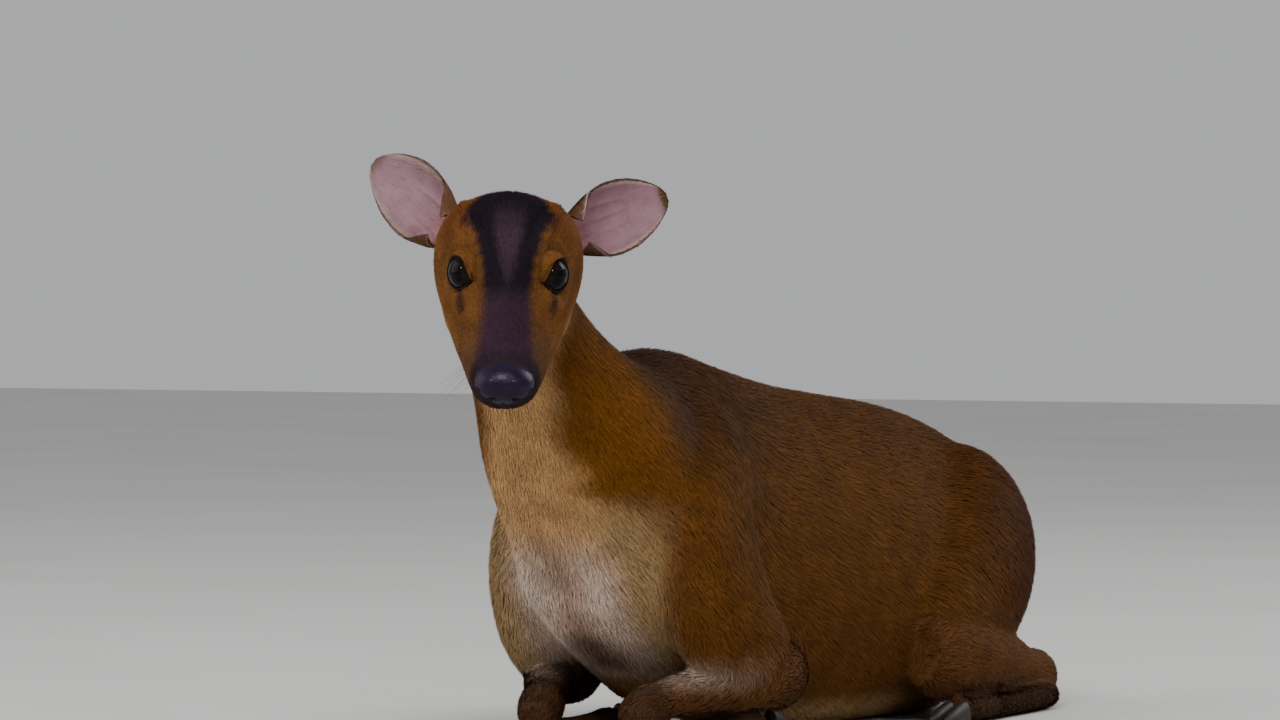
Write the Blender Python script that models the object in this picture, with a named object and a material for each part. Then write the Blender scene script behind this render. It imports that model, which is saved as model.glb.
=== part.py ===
"""A resting Reeves's muntjac doe, life size, lying on its folded legs with its head up.

The animal faces -Y and +X is its left side. Lengths are metres. The soft body is lofted from rows of
measured cross-sections, fused, thinned to few triangles, and parted by thin cuts into the pieces that a
person would name. Lower legs, hooves, ears, eyes and nose pad are forms of their own, fitted into it.
"""

import math

import bmesh
import bpy
import numpy as np
from mathutils import Matrix, Vector

GAP = 0.0003  # kept between pieces that touch
FUSE_VOXEL = 0.0024  # cell in which the soft body's forms are fused
FUSE_SMOOTHING = 9  # rounds of smoothing that turn their joins into flesh
BODY_TRIANGLES = 1600  # for trunk, neck, shoulders and thighs together
HEAD_TRIANGLES = 1900  # for the head alone, before the eyes and mouth are cut

# The head is placed by the middle of its base, and turned to look over its left shoulder.
HEAD_BASE = Vector((-0.0150, -0.3060, 0.2840))
HEAD_YAW = math.radians(30)
HEAD_PITCH = math.radians(30)
HEAD_ROLL = math.radians(2)

EYE_RADIUS = 0.0125
EYE_CENTRE = (0.0226, 0.0802, 0.0530)  # side, forward and up from the head's base
EYE_FACING = (0.77, 0.60, 0.18)
EYE_OPENING = (0.0112, 0.0092)  # half length and half height between the lids
LID_THICKNESS = 0.0020

NOSE_CENTRE = (0.0, 0.1630, 0.0278)
NOSE_RADII = (0.0172, 0.0132, 0.0130)

EAR_LENGTH = 0.086
EAR_ROOT = (0.0390, 0.0175, 0.0440)
EAR_LEFT_LEAN = (0.70, 0.28, 0.62)  # out, up and back
EAR_RIGHT_LEAN = (0.58, 0.52, 0.62)
EAR_CUP_RISE = 0.0090  # of the middle of the cup's hollow over the root
EAR_CUP_RADII = (0.0120, 0.0120, 0.0130)

HOOF_LENGTH = 0.0270
HOOF_WIDTH = 0.0098
HOOF_HEIGHT = 0.0165

# Rows of the trunk, front to back: place along Y, then heights of belly, widest line and back, half
# width, and how square the section is above and below the widest line.
TRUNK = [
    (-0.266, 0.108, 0.130, 0.154, 0.026, 2.0, 2.0),
    (-0.254, 0.082, 0.122, 0.190, 0.044, 2.0, 2.0),
    (-0.230, 0.060, 0.116, 0.226, 0.054, 2.0, 2.0),
    (-0.195, 0.040, 0.109, 0.242, 0.062, 1.9, 2.0),
    (-0.150, 0.019, 0.102, 0.2435, 0.073, 1.8, 2.1),
    (-0.095, 0.005, 0.096, 0.2320, 0.080, 1.8, 2.2),
    (-0.030, -0.003, 0.092, 0.2195, 0.085, 1.9, 2.3),
    (0.040, -0.004, 0.088, 0.2115, 0.089, 2.0, 2.4),
    (0.110, -0.004, 0.088, 0.2040, 0.088, 2.0, 2.4),
    (0.165, -0.003, 0.092, 0.1920, 0.082, 2.0, 2.3),
    (0.210, 0.008, 0.097, 0.1720, 0.068, 2.0, 2.1),
    (0.245, 0.034, 0.100, 0.1430, 0.048, 2.0, 2.0),
    (0.262, 0.074, 0.098, 0.1160, 0.022, 2.0, 2.0),
]

# Rows of a limb-like form: centre x, y, z, half width, and half height above and below the centre.
NECK = [
    (0.000, -0.145, 0.120, 0.056, 0.112, 0.088),
    (0.000, -0.204, 0.149, 0.063, 0.090, 0.078),
    (-0.003, -0.250, 0.192, 0.058, 0.066, 0.062),
    (-0.010, -0.278, 0.234, 0.043, 0.042, 0.048),
    (-0.017, -0.302, 0.275, 0.0345, 0.032, 0.040),
    (-0.019, -0.326, 0.299, 0.0330, 0.029, 0.033),
]
SHOULDER = [
    (0.033, -0.142, 0.207, 0.018, 0.026, 0.026),
    (0.046, -0.168, 0.167, 0.030, 0.043, 0.043),
    (0.053, -0.192, 0.122, 0.0325, 0.050, 0.050),
    (0.063, -0.180, 0.078, 0.029, 0.042, 0.042),
    (0.071, -0.146, 0.049, 0.021, 0.029, 0.029),
]
THIGH = [
    (0.030, 0.208, 0.140, 0.026, 0.038, 0.038),
    (0.050, 0.172, 0.118, 0.044, 0.066, 0.066),
    (0.066, 0.126, 0.092, 0.044, 0.066, 0.066),
    (0.080, 0.080, 0.070, 0.033, 0.048, 0.048),
    (0.087, 0.044, 0.054, 0.022, 0.030, 0.030),
]
FOREARM = [
    (0.074, -0.114, 0.040, 0.014, 0.016, 0.016),
    (0.073, -0.132, 0.041, 0.022, 0.024, 0.024),
    (0.066, -0.162, 0.038, 0.0195, 0.022, 0.020),
    (0.054, -0.194, 0.033, 0.0155, 0.0165, 0.015),
    (0.043, -0.216, 0.028, 0.0135, 0.0140, 0.012),
    (0.037, -0.230, 0.023, 0.0155, 0.0155, 0.0150),
    (0.034, -0.243, 0.0155, 0.0125, 0.0130, 0.0130),
]
FORE_CANNON = [
    (0.0345, -0.240, 0.0080, 0.0070, 0.0060, 0.0070),
    (0.0355, -0.222, 0.0078, 0.0084, 0.0075, 0.0085),
    (0.0390, -0.184, 0.0078, 0.0072, 0.0070, 0.0082),
    (0.0430, -0.151, 0.0080, 0.0086, 0.0078, 0.0086),
    (0.0442, -0.140, 0.0085, 0.0098, 0.0088, 0.0092),
    (0.0462, -0.122, 0.0082, 0.0082, 0.0074, 0.0086),
    (0.0478, -0.108, 0.0084, 0.0090, 0.0080, 0.0088),
]
SHANK = [
    (0.088, 0.030, 0.044, 0.018, 0.019, 0.019),
    (0.091, 0.048, 0.044, 0.026, 0.029, 0.029),
    (0.092, 0.090, 0.040, 0.025, 0.030, 0.028),
    (0.090, 0.140, 0.034, 0.018, 0.022, 0.019),
    (0.087, 0.180, 0.028, 0.0115, 0.0155, 0.0135),
    (0.085, 0.206, 0.023, 0.0118, 0.0165, 0.0150),
    (0.084, 0.222, 0.018, 0.0090, 0.0110, 0.0115),
]
HIND_CANNON = [
    (0.090, 0.213, 0.0095, 0.0085, 0.0080, 0.0090),
    (0.094, 0.190, 0.0095, 0.0108, 0.0100, 0.0104),
    (0.101, 0.150, 0.0090, 0.0088, 0.0085, 0.0096),
    (0.106, 0.105, 0.0088, 0.0088, 0.0084, 0.0094),
    (0.108, 0.083, 0.0092, 0.0108, 0.0098, 0.0098),
    (0.108, 0.062, 0.0088, 0.0088, 0.0082, 0.0094),
    (0.108, 0.047, 0.0090, 0.0098, 0.0086, 0.0096),
]
TAIL = [
    (0.000, 0.220, 0.150, 0.012, 0.010, 0.012),
    (0.001, 0.246, 0.141, 0.015, 0.011, 0.012),
    (0.004, 0.266, 0.118, 0.0185, 0.0105, 0.0120),
    (0.008, 0.274, 0.090, 0.0205, 0.0100, 0.0115),
    (0.012, 0.273, 0.060, 0.0165, 0.0080, 0.0095),
    (0.014, 0.266, 0.038, 0.0065, 0.0040, 0.0040),
]

# Rows of the head from the poll to the tip of the muzzle: distance forward, then heights of the jaw,
# widest line and brow, half width, and how square the section is above and below.
SKULL = [
    (-0.014, 0.006, 0.030, 0.044, 0.0220, 2.0, 2.0),
    (0.000, -0.003, 0.030, 0.054, 0.0370, 2.2, 2.0),
    (0.012, -0.009, 0.030, 0.0660, 0.0425, 2.3, 2.0),
    (0.027, -0.012, 0.030, 0.0765, 0.0450, 2.4, 2.0),
    (0.045, -0.013, 0.031, 0.0818, 0.0438, 2.35, 2.1),
    (0.062, -0.011, 0.031, 0.0810, 0.0404, 2.2, 2.2),
    (0.078, -0.008, 0.030, 0.0757, 0.0372, 2.0, 2.3),
    (0.091, -0.004, 0.028, 0.0688, 0.0346, 1.9, 2.4),
    (0.104, -0.001, 0.026, 0.0617, 0.0318, 1.8, 2.4),
    (0.118, 0.002, 0.025, 0.0548, 0.0286, 1.9, 2.5),
    (0.132, 0.0040, 0.0245, 0.0490, 0.0254, 2.0, 2.6),
    (0.146, 0.0065, 0.0245, 0.0450, 0.0226, 2.1, 2.6),
    (0.158, 0.0090, 0.0250, 0.0418, 0.0202, 2.2, 2.5),
    (0.1665, 0.0115, 0.0255, 0.0392, 0.0172, 2.3, 2.6),
    (0.1715, 0.0145, 0.0262, 0.0362, 0.0132, 2.2, 2.3),
    (0.1742, 0.0195, 0.0265, 0.0325, 0.0072, 2.0, 2.0),
]

# Rows of the ear: share of its length, radius of the curled blade, and half the angle it curls through.
EAR_BLADE = [
    (0.00, 0.0125, 150),
    (0.12, 0.0160, 122),
    (0.30, 0.0205, 88),
    (0.50, 0.0245, 66),
    (0.70, 0.0270, 49),
    (0.85, 0.0270, 35),
    (0.95, 0.0250, 22),
    (1.00, 0.0220, 7),
]
EAR_THICKNESS = 0.0022

MATERIALS = {
    "coat": ((0.30, 0.13, 0.035, 1), 0.85, 0.0),
    "ear_skin": ((0.50, 0.27, 0.25, 1), 0.65, 0.0),
    "eye": ((0.012, 0.008, 0.008, 1), 0.05, 0.0),
    "nose": ((0.018, 0.014, 0.020, 1), 0.25, 0.0),
    "hoof": ((0.035, 0.028, 0.025, 1), 0.45, 0.0),
}


def clear_scene():
    for obj in list(bpy.data.objects):
        bpy.data.objects.remove(obj)


def material(name):
    """The named finish, made once."""
    found = bpy.data.materials.get(name)
    if found:
        return found
    made = bpy.data.materials.new(name)
    made.use_nodes = True
    shader = made.node_tree.nodes["Principled BSDF"]
    colour, roughness, metallic = MATERIALS[name]
    shader.inputs["Base Color"].default_value = colour
    shader.inputs["Roughness"].default_value = roughness
    shader.inputs["Metallic"].default_value = metallic
    made.diffuse_color = colour
    return made


def add_object(name, points, faces):
    """A mesh object whose faces are made to point out."""
    mesh = bpy.data.meshes.new(name)
    mesh.from_pydata([tuple(p) for p in points], [], faces)
    shape = bmesh.new()
    shape.from_mesh(mesh)
    bmesh.ops.recalc_face_normals(shape, faces=shape.faces)
    shape.to_mesh(mesh)
    shape.free()
    obj = bpy.data.objects.new(name, mesh)
    bpy.context.scene.collection.objects.link(obj)
    return obj


def remove(*objects):
    for obj in objects:
        bpy.data.objects.remove(obj)


def bake_modifiers(obj):
    """Replaces the object's mesh by what its modifiers make of it."""
    graph = bpy.context.evaluated_depsgraph_get()
    mesh = bpy.data.meshes.new_from_object(obj.evaluated_get(graph))
    obj.modifiers.clear()
    obj.data = mesh
    return obj


def smooth_rows(rows, count):
    """Cubic curves through the rows' numbers, read at count even steps."""
    rows = np.array(rows, float)
    padded = np.vstack([2 * rows[0] - rows[1], rows, 2 * rows[-1] - rows[-2]])
    found = []
    for place in np.linspace(0, len(rows) - 1 - 1e-9, count):
        i, t = int(place), place - int(place)
        a, b, c, d = padded[i : i + 4]
        found.append(
            0.5
            * (
                2 * b
                + (c - a) * t
                + (2 * a - 5 * b + 4 * c - d) * t**2
                + (3 * b - a - 3 * c + d) * t**3
            )
        )
    return np.array(found)


def bridged(rings):
    """Points and faces of a closed tube through equally divided rings."""
    sides = len(rings[0])
    points = [p for ring in rings for p in ring]
    faces = [
        (
            r * sides + s,
            r * sides + (s + 1) % sides,
            (r + 1) * sides + (s + 1) % sides,
            (r + 1) * sides + s,
        )
        for r in range(len(rings) - 1)
        for s in range(sides)
    ]
    last = (len(rings) - 1) * sides
    faces.append(tuple(range(sides)))
    faces.append(tuple(last + s for s in range(sides)))
    return points, faces


def section(angle, half_width, above, below, square_above=2.0, square_below=2.0):
    """Sideways and upward distance of a point on a rounded section, at this angle round it."""
    c, s = math.cos(angle), math.sin(angle)
    square = square_above if s > 0 else square_below
    reach = above if s > 0 else below
    across = half_width * math.copysign(abs(c) ** (2 / square), c)
    up = reach * math.copysign(abs(s) ** (2 / square), s)
    return across, up


def upright_form(name, rows, samples, sides, place):
    """A closed form whose sections stand across its length. place turns side, along and up into space."""
    rings = []
    for along, low, wide, high, half, square_above, square_below in smooth_rows(rows, samples):
        ring = []
        for k in range(sides):
            across, up = section(
                2 * math.pi * k / sides, half, high - wide, wide - low, square_above, square_below
            )
            ring.append(place(across, along, wide + up))
        rings.append(ring)
    return add_object(name, *bridged(rings))


def limb_form(name, rows, samples, sides, mirror=1, side_hint=(1, 0, 0)):
    """A closed form round a bent centreline. mirror is -1 for the animal's right side."""
    rows = smooth_rows(rows, samples)
    rows[:, 0] *= mirror
    centres = rows[:, :3]
    tangents = np.gradient(centres, axis=0)
    rings = []
    before = Vector((0, 0.3, 1))
    for row, centre, tangent in zip(rows, centres, tangents):
        along = Vector(tangent).normalized()
        side = (Vector(side_hint) - along * along.dot(Vector(side_hint))).normalized()
        up = side.cross(along)
        if up.dot(before) < 0:
            up.negate()
        before = up
        ring = []
        for k in range(sides):
            across, height = section(2 * math.pi * k / sides, row[3], row[4], row[5])
            ring.append(Vector(centre) + side * across + up * height)
        rings.append(ring)
    return add_object(name, *bridged(rings))


def ellipsoid(name, centre, radii, turn=None, detail=3):
    """A stretched ball. turn is a 3x3 matrix applied after the stretch."""
    shape = bmesh.new()
    bmesh.ops.create_icosphere(shape, subdivisions=detail, radius=1)
    matrix = Matrix.Translation(Vector(centre))
    if turn is not None:
        matrix = matrix @ turn.to_4x4()
    matrix = matrix @ Matrix.Diagonal((*radii, 1))
    shape.transform(matrix)
    bmesh.ops.recalc_face_normals(shape, faces=shape.faces)
    mesh = bpy.data.meshes.new(name)
    shape.to_mesh(mesh)
    shape.free()
    obj = bpy.data.objects.new(name, mesh)
    bpy.context.scene.collection.objects.link(obj)
    return obj


def head_matrix():
    """From the head's own side, forward and up to space."""
    facing = Vector((math.sin(HEAD_YAW), -math.cos(HEAD_YAW), 0))
    forward = facing * math.cos(HEAD_PITCH) - Vector((0, 0, 1)) * math.sin(HEAD_PITCH)
    left = Vector((math.cos(HEAD_YAW), math.sin(HEAD_YAW), 0))
    up = left.cross(forward) * -1
    turn = Matrix((left, forward, up)).transposed()
    roll = Matrix.Rotation(HEAD_ROLL, 3, "Y")
    return Matrix.Translation(HEAD_BASE) @ (turn @ roll).to_4x4()


HEAD = head_matrix()


def in_head(side, forward, up):
    return HEAD @ Vector((side, forward, up))


def turn_in_head(facing, upward=(0, 0, 1)):
    """A 3x3 turn whose Z axis points along facing, given in the head's own directions."""
    z = (HEAD.to_3x3() @ Vector(facing)).normalized()
    y = HEAD.to_3x3() @ Vector(upward)
    y = (y - z * y.dot(z)).normalized()
    return Matrix((y.cross(z), y, z)).transposed()


def fuse(name, pieces, voxel, smoothing):
    """Joins closed forms into one skin on a fine grid, then smooths it."""
    shape = bmesh.new()
    for piece in pieces:
        shape.from_mesh(piece.data)
    mesh = bpy.data.meshes.new(name)
    shape.to_mesh(mesh)
    shape.free()
    remove(*pieces)
    obj = bpy.data.objects.new(name, mesh)
    bpy.context.scene.collection.objects.link(obj)
    remesh = obj.modifiers.new("fuse", "REMESH")
    remesh.mode = "VOXEL"
    remesh.voxel_size = voxel
    soften = obj.modifiers.new("soften", "SMOOTH")
    soften.factor = 0.6
    soften.iterations = smoothing
    return bake_modifiers(obj)


def thin_out(obj, triangles, group=None):
    """Fewer triangles. Where a vertex group is named, its low weights keep more of them."""
    obj.data.calc_loop_triangles()
    reduce = obj.modifiers.new("thin", "DECIMATE")
    reduce.ratio = min(1.0, triangles / len(obj.data.loop_triangles))
    reduce.use_collapse_triangulate = True
    if group:
        reduce.vertex_group = group
        reduce.vertex_group_factor = 1.0
    return bake_modifiers(obj)


def keep_largest(obj):
    """Drops loose scraps, so that the object is one closed surface."""
    shape = bmesh.new()
    shape.from_mesh(obj.data)
    seen, bodies = set(), []
    for start in shape.verts:
        if start in seen:
            continue
        seen.add(start)
        body, edge = [], [start]
        while edge:
            vert = edge.pop()
            body.append(vert)
            for link in vert.link_edges:
                other = link.other_vert(vert)
                if other not in seen:
                    seen.add(other)
                    edge.append(other)
        bodies.append(body)
    bodies.sort(key=len)
    for body in bodies[:-1]:
        bmesh.ops.delete(shape, geom=body, context="VERTS")
    bmesh.ops.triangulate(shape, faces=shape.faces)
    shape.to_mesh(obj.data)
    shape.free()
    return obj


def combine(obj, other, operation):
    """A Boolean with another object, applied at once. The other object stays."""
    change = obj.modifiers.new("combine", "BOOLEAN")
    change.operation = operation
    change.object = other
    bake_modifiers(obj)
    return keep_largest(obj)


def copy_of(obj, name):
    made = bpy.data.objects.new(name, obj.data.copy())
    bpy.context.scene.collection.objects.link(made)
    return made


def grown(obj, distance=GAP):
    """A copy whose surface stands this far outside the object's."""
    made = copy_of(obj, obj.name + "_grown")
    mesh = made.data
    normals = [v.normal.copy() for v in mesh.vertices]
    for vert, normal in zip(mesh.vertices, normals):
        vert.co += normal * distance
    return made


def carve(target, *others):
    """Takes each of the others, with the gap round it, out of target."""
    for other in others:
        cutter = grown(other)
        combine(target, cutter, "DIFFERENCE")
        remove(cutter)
    return target


def part_off(whole, region, name):
    """Splits what lies inside region off whole, leaving the gap between the two."""
    inside = copy_of(whole, name)
    combine(inside, region, "INTERSECT")
    wider = grown(region)
    combine(whole, wider, "DIFFERENCE")
    remove(wider, region)
    return inside


def slab(name, point, normal, reach=0.6):
    """A large block that fills the side of a plane towards which normal points."""
    z = Vector(normal).normalized()
    turn = z.to_track_quat("Z", "Y").to_matrix().to_4x4()
    shape = bmesh.new()
    bmesh.ops.create_cube(shape, size=reach)
    shape.transform(Matrix.Translation(Vector(point)) @ turn @ Matrix.Translation((0, 0, reach / 2)))
    mesh = bpy.data.meshes.new(name)
    shape.to_mesh(mesh)
    shape.free()
    obj = bpy.data.objects.new(name, mesh)
    bpy.context.scene.collection.objects.link(obj)
    return obj


def flatten_under(obj):
    """Cuts off what would reach below the floor, which leaves the flats that the animal rests on."""
    floor = slab("floor", (0, 0, 0), (0, 0, -1), 1.6)
    combine(obj, floor, "DIFFERENCE")
    remove(floor)
    return obj


def head_forms():
    """The head's closed forms: skull and jaws, cheeks, brow ridges, lids, lips and ear roots."""
    forms = [upright_form("skull", SKULL, 46, 40, in_head)]
    for side in (1, -1):
        eye = Vector((side * EYE_CENTRE[0], EYE_CENTRE[1], EYE_CENTRE[2]))
        facing = (side * EYE_FACING[0], EYE_FACING[1], EYE_FACING[2])
        ball = EYE_RADIUS + LID_THICKNESS
        forms.append(
            ellipsoid("lids", HEAD @ eye, (ball * 1.04, ball, ball * 0.97), turn_in_head(facing))
        )
        forms.append(
            ellipsoid(
                "cheek",
                in_head(side * 0.0240, 0.050, 0.016),
                (0.0150, 0.034, 0.024),
                HEAD.to_3x3(),
            )
        )
        forms.append(
            ellipsoid(
                "ear_root",
                in_head(side * 0.0303, 0.0142, 0.0396),
                (0.0112, 0.0132, 0.0140),
                HEAD.to_3x3(),
            )
        )
        ridge = [
            (side * 0.0150, 0.0900, 0.0620, 0.0040, 0.0035, 0.0040),
            (side * 0.0205, 0.0680, 0.0725, 0.0055, 0.0045, 0.0050),
            (side * 0.0260, 0.0430, 0.0735, 0.0055, 0.0045, 0.0050),
            (side * 0.0290, 0.0240, 0.0660, 0.0040, 0.0035, 0.0040),
        ]
        forms.append(limb_form_in_head("brow_ridge", ridge))
        lip = [
            (side * 0.0145, 0.1340, 0.0175, 0.0065, 0.0070, 0.0055),
            (side * 0.0128, 0.1500, 0.0185, 0.0068, 0.0070, 0.0055),
            (side * 0.0060, 0.1645, 0.0195, 0.0060, 0.0065, 0.0055),
        ]
        forms.append(limb_form_in_head("lip", lip))
    return forms


def limb_form_in_head(name, rows, samples=12, sides=14):
    """A rounded bar given in the head's own directions."""
    obj = limb_form(name, [(x, -y, z, w, a, b) for x, y, z, w, a, b in rows], samples, sides)
    flip = Matrix.Diagonal((1, -1, 1, 1))
    obj.data.transform(HEAD @ flip)
    return obj


def body_forms():
    """Trunk and neck, with the masses of the shoulders and thighs."""
    forms = [
        upright_form("trunk", TRUNK, 60, 44, lambda x, y, z: Vector((x, y, z))),
        limb_form("neck", NECK, 26, 36),
    ]
    for side in (1, -1):
        forms.append(limb_form("shoulder", SHOULDER, 20, 24, side))
        forms.append(limb_form("thigh", THIGH, 22, 26, side))
    return forms


def level_head(side, forward, up):
    """A direction given by the head's yaw alone, as if the muzzle were level."""
    left = Vector((math.cos(HEAD_YAW), math.sin(HEAD_YAW), 0))
    facing = Vector((math.sin(HEAD_YAW), -math.cos(HEAD_YAW), 0))
    return left * side + facing * forward + Vector((0, 0, up))


def ear_directions(side, out, up, back):
    """Root of an ear, with the directions along it, out of its opening, and across it."""
    axis = level_head(side * out, -back, up).normalized()
    opening = level_head(side * 0.20, 1.0, 0.0)
    opening = (opening - axis * opening.dot(axis)).normalized()
    root = in_head(side * EAR_ROOT[0], EAR_ROOT[1], EAR_ROOT[2])
    return root, axis, opening, axis.cross(opening)


def ear_cup(side, lean):
    """What is cut from the head for the bottom of the ear's cup."""
    root, axis, opening, across = ear_directions(side, *lean)
    turn = Matrix((across, opening, axis)).transposed()
    return ellipsoid("ear_cup", root + axis * EAR_CUP_RISE, EAR_CUP_RADII, turn)


def ear(name, side, lean):
    """A cupped ear blade: a curled strip that is a tube at its root and an open leaf at its tip."""
    root, axis, opening, across = ear_directions(side, *lean)
    steps, strips = 12, 8
    skins = []
    for inset in (0.0, EAR_THICKNESS):
        points = []
        for share, radius, half_angle in smooth_rows(EAR_BLADE, steps):
            share, half = min(share, 1.0), math.radians(half_angle)
            centre = root + axis * EAR_LENGTH * share - opening * 0.006 * math.sin(math.pi * share)
            rim = radius * math.cos(min(half, math.pi / 2))
            for k in range(strips + 1):
                angle = half * (2 * k / strips - 1)
                reach = radius - inset
                points.append(
                    centre
                    + across * reach * math.sin(angle)
                    - opening * (reach * math.cos(angle) - 0.5 * rim)
                )
        skins.append(points)
    wide = strips + 1
    count = steps * wide
    faces = []
    for r in range(steps - 1):
        for s in range(strips):
            a = r * wide + s
            faces.append((a, a + 1, a + wide + 1, a + wide))
            faces.append((count + a, count + a + wide, count + a + wide + 1, count + a + 1))
    rim_loop = [s for s in range(strips)]
    rim_loop += [r * wide + strips for r in range(steps - 1)]
    rim_loop += [(steps - 1) * wide + s for s in range(strips, 0, -1)]
    rim_loop += [r * wide for r in range(steps - 1, 0, -1)]
    for a, b in zip(rim_loop, rim_loop[1:] + rim_loop[:1]):
        faces.append((a, b, count + b, count + a))
    return add_object(name, skins[0] + skins[1], faces)


def eye_socket(side):
    """What is cut from the head for an eye: the ball, and the almond between the lids."""
    facing = (side * EYE_FACING[0], EYE_FACING[1], EYE_FACING[2])
    turn = turn_in_head(facing)
    centre = in_head(side * EYE_CENTRE[0], EYE_CENTRE[1], EYE_CENTRE[2])
    ball = ellipsoid("socket", centre, (EYE_RADIUS + GAP,) * 3)
    half_length, half_height = EYE_OPENING
    almond = []
    sides = 20
    for depth in (0.35 * EYE_RADIUS, 2.6 * EYE_RADIUS):
        spread = 0.92 if depth < EYE_RADIUS else 1.22
        ring = []
        for k in range(sides):
            angle = 2 * math.pi * k / sides
            across = half_length * spread * math.cos(angle)
            lift = half_height * spread * math.sin(angle) * (1 - 0.16 * math.cos(angle) ** 2)
            ring.append(centre + turn @ Vector((across, lift, depth)))
        almond.append(ring)
    window = add_object("almond", *bridged(almond))
    combine(ball, window, "UNION")
    remove(window)
    return ball


def mouth_line():
    """A thin wedge that cuts the line between the lips, from one corner round the muzzle to the other."""
    half_gap = 0.0006
    inner, outer = [], []
    for k in range(17):
        angle = math.pi * k / 16
        side = 0.0300 * math.cos(angle)
        forward = 0.118 + 0.062 * math.sin(angle) ** 0.8
        height = 0.0125 + 0.0030 * math.cos(angle) ** 2
        outer.append((side, forward, height))
        inner.append((side * 0.66, 0.118 + (forward - 0.118) * 0.80, height))
    rings = []
    for near, far in zip(inner, outer):
        rings.append(
            [
                in_head(near[0], near[1], near[2]),
                in_head(far[0], far[1], far[2] - 1.6 * half_gap),
                in_head(far[0], far[1], far[2] + 1.6 * half_gap),
            ]
        )
    return add_object("mouth_line", *bridged(rings))


def nostril(side):
    """A comma-shaped hollow in the side of the nose pad."""
    rows = [
        (side * 0.0078, 0.1790, 0.0262, 0.0028, 0.0022, 0.0022),
        (side * 0.0104, 0.1745, 0.0252, 0.0030, 0.0026, 0.0024),
        (side * 0.0144, 0.1700, 0.0250, 0.0022, 0.0020, 0.0020),
        (side * 0.0190, 0.1645, 0.0272, 0.0013, 0.0014, 0.0014),
    ]
    return limb_form_in_head("nostril", rows, 9, 8)


def tear_gland(side):
    """The slit of the gland below the front corner of the eye."""
    return ellipsoid(
        "gland",
        in_head(side * 0.0272, 0.1030, 0.0425),
        (0.0028, 0.0085, 0.0016),
        HEAD.to_3x3() @ Matrix.Rotation(math.radians(side * 16), 3, "Z"),
        2,
    )


def hoof(name, tip, toe, sole, width):
    """One half of a cloven foot: a wedge with a rounded wall and a flat sole."""
    along, down = Vector(toe).normalized(), Vector(sole).normalized()
    side = along.cross(down).normalized()
    rings = []
    for k in range(6):
        share = k / 5
        half = width / 2 * (1 - 0.12 * share - 0.55 * share**4)
        height = HOOF_HEIGHT * (0.92 - 0.62 * share**1.4)
        ring = []
        for j in range(10):
            across, up = section(2 * math.pi * j / 10, half, height * 0.62, height * 0.38, 2.0, 4.0)
            start = Vector(tip) - along * HOOF_LENGTH * (1 - share)
            ring.append(start + side * across - down * (up + height * 0.38))
        rings.append(ring)
    return add_object(name, *bridged(rings))


def finish(obj, slot):
    """Gives a node its finish and smooth shading."""
    obj.data.materials.clear()
    obj.data.materials.append(material(slot))
    obj.data.shade_smooth()
    obj.data.set_sharp_from_angle(angle=math.radians(50))
    return obj


def eyes():
    made = {}
    for side, word in ((1, "left"), (-1, "right")):
        centre = in_head(side * EYE_CENTRE[0], EYE_CENTRE[1], EYE_CENTRE[2])
        made[word] = ellipsoid("eye_" + word, centre, (EYE_RADIUS,) * 3, None, 3)
    return made


def build_soft_body():
    """The fused skin, thinned with the head kept finer, as one closed body."""
    whole = fuse("whole", body_forms() + head_forms(), FUSE_VOXEL, FUSE_SMOOTHING)
    plane_point, plane_normal = neck_plane()
    head = copy_of(whole, "head")
    cut_flat(head, plane_point, plane_normal)
    cut_flat(whole, Vector(plane_point) - Vector(plane_normal) * GAP, [-n for n in plane_normal])
    thin_out(head, HEAD_TRIANGLES)
    thin_out(whole, BODY_TRIANGLES)
    cut_flat(head, Vector(plane_point) + Vector(plane_normal) * GAP, plane_normal)
    cut_flat(whole, Vector(plane_point) - Vector(plane_normal) * GAP * 2, [-n for n in plane_normal])
    return whole, head


def neck_plane():
    """Where the head is parted from the neck: from behind the poll to behind the jaw."""
    nape, throat = (-0.006, 0.045), (0.040, -0.018)
    run, drop = throat[0] - nape[0], throat[1] - nape[1]
    length = math.hypot(run, drop)
    normal = HEAD.to_3x3() @ Vector((0, -drop / length, run / length))
    return in_head(0, *nape), normal.normalized()


def cut_flat(obj, point, normal):
    """Keeps the side of a plane towards which normal points, and closes the cut."""
    shape = bmesh.new()
    shape.from_mesh(obj.data)
    geometry = shape.verts[:] + shape.edges[:] + shape.faces[:]
    result = bmesh.ops.bisect_plane(
        shape, geom=geometry, plane_co=Vector(point), plane_no=Vector(normal), clear_inner=True
    )
    rim = [e for e in result["geom_cut"] if isinstance(e, bmesh.types.BMEdge)]
    bmesh.ops.edgenet_fill(shape, edges=rim)
    bmesh.ops.recalc_face_normals(shape, faces=shape.faces)
    bmesh.ops.triangulate(shape, faces=shape.faces)
    shape.to_mesh(obj.data)
    shape.free()
    return keep_largest(obj)


def part_off_pad(head, region):
    """The nose pad stands a little proud of the muzzle: the region's whole front belongs to it."""
    nose = copy_of(region, "nose_pad")
    carve(head, nose)
    remove(region)
    return nose


def centre_on_base(objects):
    """Moves the animal so that the middle of its base is the origin."""
    points = np.array([v.co for obj in objects for v in obj.data.vertices])
    low, high = points.min(axis=0), points.max(axis=0)
    shift = Vector((-(low[0] + high[0]) / 2, -(low[1] + high[1]) / 2, -low[2]))
    for obj in objects:
        obj.data.transform(Matrix.Translation(shift))


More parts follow.
